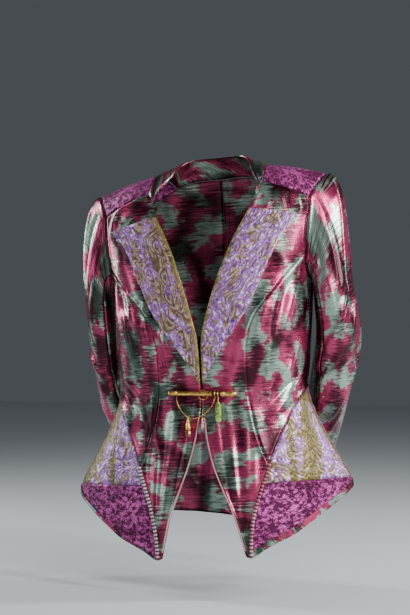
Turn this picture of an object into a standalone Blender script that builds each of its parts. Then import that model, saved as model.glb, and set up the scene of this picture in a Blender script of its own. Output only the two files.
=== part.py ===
"""Fitted jacket in satin jacquard, with velvet yokes and hip panels and brocade lapels and gores.

Lengths are in millimetres until a mesh is made. +X is the wearer's left, -Y is the front and +Z is
up. The origin is midway between the shoulders, level with the side neck points, where the wearer's
shoulders hold the jacket. Shapes are worked out for the left half and mirrored, then both halves
are leaned by the pose, in which the left shoulder is the higher one.
"""
import math

import bmesh
import bpy
import numpy as np
from mathutils import Vector

MM = 0.001
LEFT, RIGHT = 1, -1
SIDE_NAMES = {LEFT: "left", RIGHT: "right"}

# Cloth thicknesses and the clearances between neighbouring pieces
SATIN = 1.5
VELVET = 1.8
BROCADE = 1.9
BINDING = 1.3
SEAM_EASE = 0.2
SEAT = 0.35

# Level cuts through the worn form: height, half width, depth in front, depth behind, squareness
TORSO = (
    (30, 214, 62, 62, 2.3),
    (0, 212, 72, 75, 2.3),
    (-60, 210, 88, 98, 2.3),
    (-120, 197, 105, 110, 2.3),
    (-200, 178, 121, 108, 2.3),
    (-265, 174, 124, 100, 2.2),
    (-340, 169, 112, 88, 2.2),
    (-390, 167, 104, 84, 2.1),
    (-450, 190, 109, 97, 1.8),
    (-500, 218, 116, 111, 1.6),
    (-541, 240, 121, 120, 1.5),
    (-600, 238, 127, 127, 1.5),
    (-690, 232, 130, 131, 1.5),
)

# Shoulder line: distance from the middle, height
SHOULDER_LINE = ((0, 24), (60, 11), (92, 0), (124, -5), (155, -13), (201, -27), (230, -38))
SHOULDER_ROUND = 60.0

# Lean of the level lines in degrees, and the sideways shift of the hips, by height
LEAN = ((30, 5.0), (-100, 4.9), (-160, 4.0), (-380, 2.6), (-540, 2.4), (-690, 3.0))
HIP_SHIFT = ((30, 0), (-200, 0), (-380, 2), (-541, 3.5), (-690, 9))

# Seams on the left half: which face they lie on, the number of steps along them, and the points
# (distance from the middle, height) they pass through. SIDE stands for the side seam itself.
SIDE = 400.0
SEAMS = {
    "neck_front": ("front", 2, ((100, -33), (95, -44), (81, -77))),
    "fold": ("front", 13, ((81, -77), (55, -130), (30, -195), (14, -248), (4, -290), (2, -330),
                           (2, -371))),
    "front_edge": ("front", 16, ((2, -371), (2, -418), (4, -432), (8, -460), (18, -501), (35, -547),
                                 (50, -583), (61, -618), (68, -645), (73, -664))),
    "yoke_front": ("front", 6, ((100, -33), (178, -67))),
    "armhole_front": ("front", 4, ((178, -67), (177, -95), (174, -130), (172, -159))),
    "armhole_low": ("front", 6, ((172, -159), (172, -180), (175, -197), (SIDE, -205))),
    "princess": ("front", 18, ((172, -159), (145, -192), (120, -222), (92, -258), (79, -300), (77, -345),
                               (80, -400), (92, -459), (113, -510))),
    "side": ("front", 18, ((SIDE, -205), (SIDE, -384))),
    "gore_high": ("front", 6, ((113, -510), (120, -489), (140, -441), (157, -404), (SIDE, -384))),
    "gore_low": ("front", 2, ((113, -510), (103, -541))),
    "hip_front": ("front", 7, ((103, -541), (91, -580), (83, -622), (80, -667))),
    "neck_back": ("back", 4, ((0, -12), (45, -12), (80, -20))),
    "yoke_back": ("back", 6, ((80, -20), (182, -78))),
    "armhole_back": ("back", 4, ((182, -78), (180, -105), (176, -135), (173, -160))),
    "armhole_low_back": ("back", 6, ((173, -160), (172, -181), (175, -197), (SIDE, -205))),
    "side_back": ("back", 9, ((SIDE, -205), (SIDE, -384))),
    "gore_back": ("back", 8, ((SIDE, -384), (157, -404), (140, -441), (120, -489), (103, -541))),
    "hip_back": ("back", 3, ((103, -541), (100, -604))),
    "lapel_edge": ("front", 13, ((159, -97), (137, -124), (118, -162), (100, -205), (82, -245), (65, -271),
                                 (45, -298), (25, -330), (12, -352), (5, -370))),
    "lapel_top": ("front", 5, ((81, -79), (159, -97))),
    "lapel_fold": ("front", 13, ((81, -79), (55, -130), (30, -195), (14, -248), (4, -290), (2, -330),
                                 (2, -370))),
}
BACK_ROWS = 30
BACK_HEM = -618.0
GORE_APEX = 0.12
# Places worked out along a seam, and the mean reach of the body used to space them
SEAM_PLACES = 241
MEAN_REACH = 150.0

# Hem of the velvet hip panel: angle round the body in degrees, height
VELVET_HEM = ((27.6, -667), (33.5, -652), (38.5, -643), (46, -630), (53, -613), (62, -594), (72, -575),
              (82, -562), (90, -556), (104, -566), (125, -585), (149.8, -604))
HIP_STEPS = 14
BINDING_START = 0.3
HEM_BINDING = {LEFT: ((0, 13), (0.5, 12), (1, 10)), RIGHT: ((0, 3), (0.35, 8), (0.6, 13), (1, 11))}

# Soft folds in the body cloth: half of the body, start x and z, end x and z, half width, height
FOLDS = (
    (LEFT, 60, -300, 40, -400, 9, 2.6),
    (LEFT, 42, -420, 62, -560, 10, 3.2),
    (LEFT, 88, -420, 100, -480, 9, 2.0),
    (LEFT, 125, -250, 105, -340, 12, 2.8),
    (LEFT, 150, -180, 120, -150, 12, 2.4),
    (LEFT, 150, -380, 118, -420, 9, 2.2),
    (RIGHT, 62, -285, 45, -395, 10, 3.0),
    (RIGHT, 45, -425, 68, -600, 11, 3.4),
    (RIGHT, 128, -215, 118, -262, 8, 4.5),
    (RIGHT, 135, -250, 112, -360, 12, 3.0),
    (RIGHT, 140, -150, 160, -100, 12, 2.4),
    (RIGHT, 100, -410, 88, -470, 10, 2.4),
    (RIGHT, 150, -372, 120, -405, 9, 2.4),
)
BACK_FOLDS = (
    (LEFT, 55, -330, 45, -440, 12, 3.0),
    (LEFT, 120, -130, 95, -250, 16, 3.0),
    (LEFT, 35, -480, 50, -610, 15, 4.0),
    (RIGHT, 60, -340, 52, -450, 12, 3.0),
    (RIGHT, 115, -120, 100, -240, 16, 2.6),
    (RIGHT, 45, -470, 62, -610, 15, 4.4),
)

# Yoke edges by place over the shoulder, from -1 at the front seam to 1 at the back seam
YOKE_NECK = ((-1, 100), (-0.5, 99), (0, 96), (0.5, 90), (1, 80))
YOKE_TIP = ((-1, 178), (-0.5, 193), (0, 201), (0.5, 195), (1, 182))
YOKE_HALF_ROWS = 4

# Lapel height over the front: share of the way from fold to edge, at the top, at the bottom
LAPEL_LIFT = ((0, 0.6, 0.6), (0.2, 3.6, 1.2), (0.5, 3.0, 1.0), (0.8, 4.0, 0.9), (1, 5.6, 0.8))

# Collar: share of the way from its front end to the middle of the back, how far it closes on the
# neck from 0 to 1, and the height of its top edge
COLLAR = ((0, 0.04, -52), (0.1, 0.25, -37), (0.22, 0.55, -16), (0.36, 0.85, 4), (0.5, 1, 17),
          (0.65, 1, 24), (0.8, 1, 26), (1, 1, 26))
NECK_RING = (60.0, 53.0)
COLLAR_ROWS = 4
COLLAR_BULGE = 3.0
COLLAR_STAND = 30.0
COLLAR_CLEAR_OF_LAPEL = 1

# Sleeve tubes, centre of each cut from the upper arm to the cuff: x, y, z, half width, half depth
SLEEVES = {
    LEFT: (
        (209, 12, -225, 36, 62),
        (214, 24, -280, 38, 60),
        (206, 42, -345, 39, 56),
        (191, 70, -405, 37, 51),
        (172, 104, -462, 35, 46),
        (156, 136, -512, 34, 43),
        (146, 160, -552, 33, 41),
    ),
    RIGHT: (
        (199, 25, -225, 29, 66),
        (199, 40, -280, 29, 63),
        (197, 60, -345, 30, 58),
        (185, 84, -405, 31, 52),
        (167, 112, -462, 34, 46),
        (155, 138, -512, 33, 43),
        (146, 160, -552, 32, 41),
    ),
}
SLEEVE_TUBE_ROWS = 11
SLEEVE_CAP_ROWS = 7
SLEEVE_SQUARENESS = 2.2
# Round and length that the places of the sleeve folds are stretched over
SLEEVE_ROUND, SLEEVE_LONG = 300.0, 560.0
# Angle in degrees between the sleeve and the body at the armhole, by height
SLEEVE_LEAVE = ((0, 25), (-35, 22), (-70, 12), (-130, 34), (-205, 76))
SLEEVE_GAP = 0.5
CAP_HANDLES = (0.18, 0.45)
CAP_SPACING = 1.15
BESIDE_BODY, BESIDE_SOFTNESS = 1.5, 6.0
ARMHOLE_FOOT, BESIDE_FADE = -203.0, 8.0
TOP_SLEEVE_FRONT, TOP_SLEEVE_BACK = 9, 21

# Drag folds on the sleeves: half, start round in turns and down from 0 to 1, end, half width, height
SLEEVE_FOLDS = (
    (LEFT, 0.02, 0.42, 0.30, 0.62, 7, 4.6),
    (LEFT, 0.10, 0.38, 0.33, 0.58, 7, 4.2),
    (LEFT, 0.92, 0.50, 0.20, 0.72, 8, 4.6),
    (LEFT, 0.30, 0.20, 0.22, 0.40, 10, 2.8),
    (LEFT, 0.05, 0.15, 0.00, 0.34, 12, 2.4),
    (RIGHT, 0.05, 0.52, 0.34, 0.60, 7, 4.6),
    (RIGHT, 0.00, 0.44, 0.28, 0.55, 8, 3.6),
    (RIGHT, 0.92, 0.60, 0.22, 0.74, 8, 4.2),
    (RIGHT, 0.28, 0.18, 0.18, 0.42, 10, 2.8),
    (RIGHT, 0.03, 0.12, 0.06, 0.32, 12, 2.4),
)

# Piping: half width and height of the ribbed piping at the hip and of the piping on the front edge
HIP_PIPING = (3.0, 3.2)
EDGE_PIPING = (1.3, 1.6)
PIPING_FOOT = 0.4
EDGE_PIPING_START = 3

# Clasp: the axis of a bar across the waist, 11 mm in front of the cloth, with a ring behind it.
# Bar, collar and knob are given by their two ends across the waist and a radius
CLASP_Y, CLASP_Z = -115.3, -386.0
BAR = (-54.0, 20.0, 4.0)
BAR_DENTS, BAR_DENT, BAR_TIP = 12, 0.06, 1.2
BAR_COLLAR = (20.3, 35.2, 4.6)
BAR_KNOB = (35.5, 62.0, 4.9)
# Knob: share of the way along it, share of its radius
KNOB_SHAPE = ((0, 0.8), (0.15, 1), (0.3, 0.75), (0.5, 0.95), (0.75, 1), (0.92, 0.75), (1, 0.35))
COLLAR_RIM, COLLAR_RIM_RADIUS = 2.0, 0.8
RING_AT = (3.6, -388.5)
RING_RADIUS, RING_WIRE = 8.2, 0.8
SHANKS = (-48.0, 48.0)
SHANK_RADIUS = 1.5
CHAIN_WIRE = 0.75
CHAIN_PLACES = 31
CHAIN_PATH = ((-41, -392.2), (-40, -399), (-35, -410), (-27, -420), (-19, -426), (-10, -428), (0, -425),
              (12, -417), (21, -406), (25.5, -392.2))
CHAIN_RINGS = (-41.0, 25.5)
CHAIN_LEAN = 0.24
BAR_RING_WIRE = 0.6
# Clearance between metal pieces, and round a threaded ring
METAL_GAP, RING_GAP, WELD = 0.3, 0.35, 0.2
AMBER_X = -19.0
GREEN_X = 31.0
PENDANT_X = 3.6
PENDANT_LEAN, PENDANT_CHAIN = 6.5, 30.0
# Eyes: radius, wire
AMBER_EYE = (1.9, 0.55)
PENDANT_EYE = (1.75, 0.5)
# Turned shapes: distance above the named end, radius
AMBER_CAP = ((-19, 3.9), (-16, 4.4), (-11, 4.1), (-6, 2.9), (-2.5, 2.2), (0, 0.9))
AMBER_DROP = ((-13.5, 1.2), (-12, 3.4), (-9, 5.2), (-5.5, 5.9), (-2, 5.2), (0, 3.8))
GREEN_STEM = ((-10.4, 2.6), (-9.2, 2.6), (-8.6, 0.8), (0.1, 0.55))
GREEN_DROP = ((-31, 3.6), (-29, 5.2), (-3, 5.2), (0, 3.6))
PENDANT_CROWN = ((-2.5, 1.9), (-1, 1.9), (1, 0.9))
PENDANT_DROP = ((-15, 0.9), (-13, 2.3), (-9, 2.7), (-3, 2.2), (0, 1.3))


def smooth(at, places, values):
    """A smooth curve through a table: cubic pieces whose slopes come from the neighbouring rows."""
    places, values = np.asarray(places, float), np.asarray(values, float)
    if places[0] > places[-1]:
        places, values = places[::-1], values[::-1]
    slopes = np.gradient(values, places, axis=0)
    at = np.clip(at, places[0], places[-1])
    row = np.clip(np.searchsorted(places, at, side="right") - 1, 0, len(places) - 2)
    span = places[row + 1] - places[row]
    share = (at - places[row]) / span
    if values.ndim > 1:
        span, share = span[..., None], share[..., None]
    square, cube = share ** 2, share ** 3
    return ((2 * cube - 3 * square + 1) * values[row] + (cube - 2 * square + share) * span * slopes[row]
            + (3 * square - 2 * cube) * values[row + 1] + (cube - square) * span * slopes[row + 1])


def table(rows):
    """The first column of a table, and its other columns together."""
    rows = np.asarray(rows, float)
    return rows[:, 0], rows[:, 1:] if rows.shape[1] > 2 else rows[:, 1]


def torso(z):
    """Half width, front depth, back depth and squareness of the level cut at each height."""
    return np.moveaxis(smooth(z, *table(TORSO)), -1, 0)


def shoulder_line(x):
    """Height of the shoulder line over each distance from the middle."""
    return smooth(x, *table(SHOULDER_LINE))


def unit(vectors):
    return vectors / np.maximum(np.linalg.norm(vectors, axis=-1, keepdims=True), 1e-9)


def angle_at(x, z, face):
    """Angle round the body, from 0 at centre front to pi at centre back, of a point x from the middle."""
    half, _, _, power = torso(z)
    angle = np.arcsin(np.clip(x / half, 0, 1) ** (power / 2))
    return angle if face == "front" else math.pi - angle


def ridges(rows, side, first, second):
    """Height of the folds at each place: a rounded crest along each line from start to end."""
    height = np.zeros(np.broadcast(first, second).shape)
    for half, x1, z1, x2, z2, width, crest in rows:
        if half != side:
            continue
        run = np.array((x2 - x1, z2 - z1))
        share = np.clip(((first - x1) * run[0] + (second - z1) * run[1]) / (run @ run), 0, 1)
        far = np.hypot(first - x1 - share * run[0], second - z1 - share * run[1])
        height = height + crest * np.exp(-(far / width) ** 2)
    return height


def body(chart, side):
    """Points and outward directions on the worn form, from angles round it and heights.

    A level cut is x = w sin^(2/n), y = -d cos^(2/n). Within SHOULDER_ROUND below the shoulder line
    the depth closes as a quarter ellipse, and the soft folds stand out along the outward direction.
    """
    angle, z = chart[..., 0], chart[..., 1]
    half, front, back, power = torso(z)
    sine, cosine = np.abs(np.sin(angle)), np.cos(angle)
    depth = np.where(cosine > 0, front, back)
    x = half * sine ** (2 / power)
    below = np.clip((shoulder_line(x) - z) / SHOULDER_ROUND, 0, 1)
    closing = np.sqrt(np.clip(1 - (1 - below) ** 2, 0, 1))
    y = -np.sign(cosine) * depth * np.abs(cosine) ** (2 / power) * closing
    over, under = torso(z + 1), torso(z - 1)
    width_slope = (over[0] - under[0]) / 2
    depth_slope = np.where(cosine > 0, over[1] - under[1], over[2] - under[2]) / 2
    line_slope = (shoulder_line(x + 1) - shoulder_line(x - 1)) / 2
    roll = cosine ** 2 * (1 - below) / SHOULDER_ROUND
    rim = 2 - 2 / power
    out = np.stack((
        closing ** 2 * sine ** rim / half - roll * line_slope,
        -np.sign(cosine) * closing * np.abs(cosine) ** rim / depth,
        roll - closing ** 2 * (sine ** 2 * width_slope / half + cosine ** 2 * depth_slope / depth),
    ), -1)
    out = unit(out)
    folds = np.where(cosine > 0, ridges(FOLDS, side, x, z), ridges(BACK_FOLDS, side, x, z))
    return np.stack((x, y, z), -1) + folds[..., None] * out, out


def pose(points, side=LEFT):
    """Mirror a half if it is the right one, then lean the level lines and shift the hips."""
    x, y, z = points[..., 0] * side, points[..., 1], points[..., 2]
    lean = np.tan(np.radians(smooth(z, *table(LEAN))))
    return np.stack((x + smooth(z, *table(HIP_SHIFT)), y, z + x * lean), -1)


def seam(name, count=None):
    """Chart points (angle, height) spaced evenly along a named seam."""
    face, steps, points = SEAMS[name]
    points = np.asarray(points, float)
    angles = angle_at(points[:, 0], points[:, 1], face)
    chart = np.stack((angles, points[:, 1]), -1)
    return even(chart, count or steps)


def even(chart, count):
    """Chart points at even distances over the body along a smooth line through the given ones."""
    share = np.linspace(0, 1, SEAM_PLACES)
    gaps = np.hypot(np.diff(chart[:, 0]) * MEAN_REACH, np.diff(chart[:, 1]))
    places = np.concatenate(((0,), np.cumsum(gaps)))
    if len(chart) > 2:
        fine = smooth(share * places[-1], places, chart)
    else:
        fine = chart[0] + share[:, None] * (chart[1] - chart[0])
    points, _ = body(fine, 0)
    length = np.concatenate(((0,), np.cumsum(np.linalg.norm(np.diff(points, axis=0), axis=1))))
    at = np.linspace(0, length[-1], count + 1)
    return np.stack([np.interp(at, length, fine[:, i]) for i in range(2)], -1)


def joined(*lines):
    """Lines laid end to end, with each shared end point kept once."""
    return np.concatenate([lines[0]] + [line[1:] for line in lines[1:]])


def patch(top, bottom, left, right):
    """A grid of chart points that fills four edge lines (a bilinearly blended patch)."""
    across = np.linspace(0, 1, len(top))[None, :, None]
    down = np.linspace(0, 1, len(left))[:, None, None]
    corners = ((1 - across) * (1 - down) * top[0] + across * (1 - down) * top[-1]
               + (1 - across) * down * bottom[0] + across * down * bottom[-1])
    return ((1 - down) * top + down * bottom + (1 - across) * left[:, None]
            + across * right[:, None] - corners)


def eased(points, top=SEAM_EASE, bottom=SEAM_EASE, left=SEAM_EASE, right=SEAM_EASE):
    """The same grid with its edges drawn back, to leave a clearance at the seams."""
    grid = points.copy()
    grid[0] += top * unit(points[1] - points[0])
    grid[-1] += bottom * unit(points[-2] - points[-1])
    grid[:, 0] += left * unit(points[:, 1] - points[:, 0])
    grid[:, -1] += right * unit(points[:, -2] - points[:, -1])
    return grid


def material(name, colour, roughness, metallic=0.0):
    """A plain surface with one colour."""
    made = bpy.data.materials.get(name) or bpy.data.materials.new(name)
    made.use_nodes = True
    shader = made.node_tree.nodes["Principled BSDF"]
    shader.inputs["Base Color"].default_value = (*colour, 1.0)
    shader.inputs["Roughness"].default_value = roughness
    shader.inputs["Metallic"].default_value = metallic
    return made


def solid(name, points, faces, finish, sharp=50):
    """One closed mesh object from points in millimetres, with faces turned outward."""
    mesh = bpy.data.meshes.new(name)
    mesh.from_pydata((np.asarray(points) * MM).tolist(), [], faces)
    work = bmesh.new()
    work.from_mesh(mesh)
    bmesh.ops.recalc_face_normals(work, faces=work.faces)
    work.to_mesh(mesh)
    work.free()
    mesh.shade_smooth()
    mesh.set_sharp_from_angle(angle=math.radians(sharp))
    mesh.materials.append(finish)
    made = bpy.data.objects.new(name, mesh)
    bpy.context.scene.collection.objects.link(made)
    return made


def wall_faces(rows, columns):
    """Triangles of a closed wall: the outer grid, the inner grid turned over, and the rim."""
    index = np.arange(rows * columns).reshape(rows, columns)
    inner = index + rows * columns
    cells = [np.stack((index[:-1, :-1], index[:-1, 1:], index[1:, 1:], index[1:, :-1]), -1).reshape(-1, 4),
             np.stack((inner[:-1, :-1], inner[1:, :-1], inner[1:, 1:], inner[:-1, 1:]), -1).reshape(-1, 4)]
    rim = np.concatenate((index[0, :-1], index[:-1, -1], index[-1, :0:-1], index[:0:-1, 0]))
    after = np.roll(rim, -1)
    cells.append(np.stack((after, rim, rim + rows * columns, after + rows * columns), -1))
    cells = np.concatenate(cells)
    return np.concatenate((cells[:, :3], cells[:, (0, 2, 3)])).tolist()


def wall(name, outer, inner, side, finish):
    """One piece of cloth between an outer and an inner grid, leaned into the pose."""
    points = np.concatenate((outer.reshape(-1, 3), inner.reshape(-1, 3)))
    return solid(name, pose(points, side), wall_faces(*outer.shape[:2]), finish)


def panel(name, chart, side, thickness, finish, **edges):
    """A body piece on the worn form, its wall thickened inward."""
    points, out = body(chart, side)
    outer = eased(points, **edges)
    return wall(name, outer, outer - thickness * out, side, finish)


def yoke_chart():
    """Two charts over the shoulder, from the ridge down to the front seam and to the back seam."""
    halves = {}
    for face, sign, seam_name in (("front", -1, "yoke_front"), ("back", 1, "yoke_back")):
        edge = seam(seam_name)
        edge_x = np.array([body(point[None], 0)[0][0, 0] for point in edge])
        drop = (shoulder_line(edge_x) - edge[:, 1]) / SHOULDER_ROUND
        full = np.arccos(np.clip(1 - drop, -1, 1))
        place = np.linspace(0, 1, YOKE_HALF_ROWS + 1)
        neck = smooth(sign * place, *table(YOKE_NECK))
        tip = smooth(sign * place, *table(YOKE_TIP))
        share = (edge_x - edge_x[0]) / (edge_x[-1] - edge_x[0])
        x = neck[:, None] + share * (tip - neck)[:, None]
        z = shoulder_line(x) - SHOULDER_ROUND * (1 - np.cos(place[:, None] * full))
        halves[face] = np.stack((angle_at(x, z, face), z), -1)
        halves[face][-1] = edge
    return halves["front"], halves["back"]


def make_yoke(side, finish):
    """Velvet over the shoulder, from the front seam across the shoulder line to the back seam."""
    charts = yoke_chart()
    front, back = (body(chart, side) for chart in charts)
    points = np.concatenate((front[0][::-1], back[0][1:]))
    out = np.concatenate((front[1][::-1], back[1][1:]))
    outer = eased(points)
    return wall(f"yoke_{SIDE_NAMES[side]}", outer, outer - VELVET * out, side, finish)


def front_chart():
    """Chart of a front, from the yoke seam to the point: fold and front edge first, seams last."""
    inner = joined(seam("neck_front"), seam("fold"), seam("front_edge"))
    outer = joined(seam("armhole_front"), seam("princess"), seam("gore_low"), seam("hip_front"))
    tip = np.linspace(inner[-1], outer[-1], len(seam("yoke_front")))
    return patch(seam("yoke_front"), tip, inner, outer)


def make_front(side, finish):
    """Satin front: yoke seam to point, with the fold and front edge inside and the seams outside."""
    panel(f"front_{SIDE_NAMES[side]}", front_chart(), side, SATIN, finish, bottom=0.0)


def make_side_front(side, finish):
    """Satin side front: armhole to gore, between the princess seam and the side seam."""
    chart = patch(seam("armhole_low"), seam("gore_high"), seam("princess"), seam("side"))
    return panel(f"side_front_{SIDE_NAMES[side]}", chart, side, SATIN, finish)


def make_back(side, finish):
    """Satin back: neck and yoke seam to hem, between the middle seam and the side, gore and hip seams."""
    top = joined(seam("neck_back"), seam("yoke_back"))
    outer = joined(seam("armhole_back"), seam("armhole_low_back"), seam("side_back"), seam("gore_back"),
                   seam("hip_back"))
    middle = even(np.array(((math.pi, top[0, 1]), (math.pi, BACK_HEM))), BACK_ROWS)
    hem = np.linspace(middle[-1], outer[-1], len(top))
    chart = patch(top, hem, middle, outer)
    return panel(f"back_{SIDE_NAMES[side]}", chart, side, SATIN, finish)


def gore_bottom():
    """Lower seam of the gore, from its front corner round the side to its back corner."""
    ends = seam("gore_low")[-1], seam("gore_back")[-1]
    return np.linspace(*ends, HIP_STEPS + 1)


def make_gore(side, finish):
    """Stiff brocade gore, from a point at the side of the waist out to the hip corner."""
    front = joined(seam("gore_high")[::-1], seam("gore_low"))
    back = seam("gore_back")
    front[0] += GORE_APEX * (front[1] - front[0])
    back[0] += GORE_APEX * (back[1] - back[0])
    top = np.linspace(front[0], back[0], HIP_STEPS + 1)
    return panel(f"gore_{SIDE_NAMES[side]}", patch(top, gore_bottom(), front, back), side, BROCADE, finish)


def hem_line():
    """Lower edge of the velvet hip panel, at the same angles as the gore's lower seam."""
    degrees, heights = table(VELVET_HEM)
    angles = np.linspace(seam("hip_front")[-1, 0], seam("hip_back")[-1, 0], HIP_STEPS + 1)
    z = smooth(np.degrees(angles), degrees, heights)
    return np.stack((angles, z), -1)


def hip_chart(side):
    """Chart of the velvet hip panel, whose last row of cells has the width of the hem binding."""
    front = seam("hip_front")
    hem = hem_line()
    hem[0] = front[-1]
    chart = patch(gore_bottom(), hem, front, seam("hip_back", len(front) - 1))
    drop = chart[0, :, 1] - chart[-1, :, 1]
    width = smooth(np.linspace(0, 1, HIP_STEPS + 1), *table(HEM_BINDING[side]))
    even_down = np.linspace(0, 1, len(front))
    for column, cut in enumerate(1 - width / drop):
        down = np.append(np.linspace(0, cut, len(front) - 1), 1)
        chart[:, column] = np.stack([np.interp(down, even_down, part) for part in chart[:, column].T], -1)
    return chart


def make_hip_panel(side, finish):
    """Velvet panel under the gore, deep in front and shallow at the side."""
    return panel(f"hip_panel_{SIDE_NAMES[side]}", hip_chart(side), side, VELVET, finish, bottom=0.0)


def make_hem_binding(side, finish):
    """Satin binding laid along the hem of the velvet panel, wide at the side."""
    points, out = (part[-2:] for part in body(hip_chart(side), side))
    points[:, 0] += BINDING_START * (points[:, 1] - points[:, 0])
    points[:, -1] += BINDING_START / 4 * (points[:, -2] - points[:, -1])
    under = points + SEAT * out
    wall(f"hem_binding_{SIDE_NAMES[side]}", under + BINDING * out, under, side, finish)


def make_piping(name, middle, beside, outward, half_width, height, side, finish):
    """A half-round cord laid along a line, from points on the line, across it and out of the cloth."""
    turns = np.linspace(0, math.pi, 4)[None, :, None]
    ground = middle[:, None] + beside[:, None] * np.cos(turns) * half_width + outward[:, None] * SEAT
    rise = PIPING_FOOT + np.sin(turns) * height
    wall(name, ground + outward[:, None] * rise, ground, side, finish)


def make_hip_piping(side, finish):
    """Ribbed piping over the seam between the front and the velvet panel, down to the point."""
    line = joined(seam("gore_low", 2), seam("hip_front", 14))
    line[-1] = line[-2] + 0.8 * (line[-1] - line[-2])
    points, out = body(line, side)
    beside = unit(np.cross(out, np.gradient(points, axis=0)))
    make_piping(f"hip_piping_{SIDE_NAMES[side]}", points, beside, out, *HIP_PIPING, side, finish)


def make_edge_piping(side, finish):
    """Narrow piping along the front edge below the waist, laid on the front's own points."""
    first = sum(SEAMS[name][1] for name in ("neck_front", "fold")) + EDGE_PIPING_START
    points, out = (part[first:-1] for part in body(front_chart(), side))
    beside = unit(points[:, 1] - points[:, 0])
    middle = points[:, 0] + (SEAM_EASE + EDGE_PIPING[0]) * beside
    make_piping(f"edge_piping_{SIDE_NAMES[side]}", middle, beside, out[:, 0], *EDGE_PIPING, side, finish)


def make_lapel(side, finish):
    """Brocade lapel folded back over the front, its points moved out and lifted towards the tip."""
    fold, edge = seam("lapel_fold"), seam("lapel_edge")
    top = seam("lapel_top")
    foot = np.linspace(fold[-1], edge[-1], len(top))
    chart = patch(top, foot, fold, edge)
    points, out = body(chart, side)
    share = np.linspace(0, 1, len(top))
    lift = smooth(share, *table(LAPEL_LIFT))
    down = np.linspace(0, 1, len(fold))[:, None]
    height = lift[:, 0] * (1 - down) + lift[:, 1] * down
    inner = points + out * height[..., None]
    return wall(f"lapel_{SIDE_NAMES[side]}", inner + out * BROCADE, inner, side, finish)


def neckline():
    """Points on the left neckline, from the lapel round to the middle of the back."""
    halves = yoke_chart()
    yoke_edge = np.concatenate((halves[0][::-1, 0], halves[1][1:, 0]))
    chart = joined(seam("neck_front")[::-1], yoke_edge, seam("neck_back")[::-1])
    return body(chart, 0)[0][COLLAR_CLEAR_OF_LAPEL:]


def make_collar(finish):
    """Satin collar standing from the neckline and leaning in on the neck."""
    left_foot = neckline()
    length = np.concatenate(((0,), np.cumsum(np.linalg.norm(np.diff(left_foot, axis=0), axis=1))))
    closing, height = smooth(length / length[-1], *table(COLLAR)).T
    plan = left_foot * (1, 1, 0)
    inward = -unit(plan)
    reach = closing * (np.linalg.norm(plan, axis=1)
                       - 1 / np.hypot(inward[:, 0] / NECK_RING[0], inward[:, 1] / NECK_RING[1]))
    left_top = left_foot + inward * reach[:, None]
    left_top[:, 2] = np.maximum(height, left_foot[:, 2] + 2 * SEAT)
    foot, top = (np.concatenate((line, (line * (-1, 1, 1))[-2::-1])) for line in (left_foot, left_top))
    share = np.linspace(0, 1, COLLAR_ROWS + 1)[:, None, None]
    grid = foot + share * (top - foot)
    span = np.minimum(np.linalg.norm(top - foot, axis=-1) / COLLAR_STAND, 1)
    outward = -np.concatenate((inward, (inward * (-1, 1, 1))[-2::-1]))
    grid = grid + (outward + (0, 0, 1)) * (np.sin(share * math.pi) * span[:, None] * COLLAR_BULGE)
    grid[0] += SEAT * unit(grid[1] - grid[0])
    out = unit(np.cross(np.gradient(grid, axis=1), np.gradient(grid, axis=0)))
    if out[2, 0, 2] < 0:
        out = -out
    return wall("collar", grid, grid - SATIN * out, LEFT, finish)


def armhole(side):
    """The armhole loop from the shoulder tip down the front and up the back, with its directions."""
    front, back = yoke_chart()
    chart = joined(front[:, -1], seam("armhole_front"), seam("armhole_low"),
                   seam("armhole_low_back")[::-1], seam("armhole_back")[::-1], back[::-1, -1])[:-1]
    points, out = body(chart, side)
    along = unit(np.roll(points, -1, axis=0) - np.roll(points, 1, axis=0))
    leave = unit(np.cross(along, out))
    if leave[0, 0] < 0:
        leave = -leave
    lift = np.radians(smooth(points[:, 2], *table(SLEEVE_LEAVE)))[:, None]
    return points, np.cos(lift) * leave + np.sin(lift) * out


def sleeve_rings(count, side):
    """Rings of the sleeve tube, square to a smooth path through the centres."""
    rows = np.asarray(SLEEVES[side], float)
    gaps = np.linalg.norm(np.diff(rows[:, :3], axis=0), axis=1)
    places = np.concatenate(((0,), np.cumsum(gaps)))
    line = smooth(np.linspace(0, places[-1], SLEEVE_TUBE_ROWS + 1), places, rows)
    along = unit(np.gradient(line[:, :3], axis=0))
    wide = unit(np.array((1.0, 0, 0)) - along * along[:, :1])
    deep = np.cross(along, wide)
    turn = np.arange(count) / count * 2 * math.pi
    power = 2 / SLEEVE_SQUARENESS
    cosine, sine = (np.sign(part) * np.abs(part) ** power for part in (np.cos(turn), np.sin(turn)))
    centre, half_width, half_depth = line[:, None, :3], line[:, None, 3:4], line[:, None, 4:5]
    rings = (centre + wide[:, None] * half_width * cosine[None, :, None]
             + deep[:, None] * half_depth * sine[None, :, None])
    if rings[0, count // 4, 1] > rings[0, 0, 1]:
        rings = (centre + wide[:, None] * half_width * cosine[None, :, None]
                 - deep[:, None] * half_depth * sine[None, :, None])
    return beside_body(rings), along[0]


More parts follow.
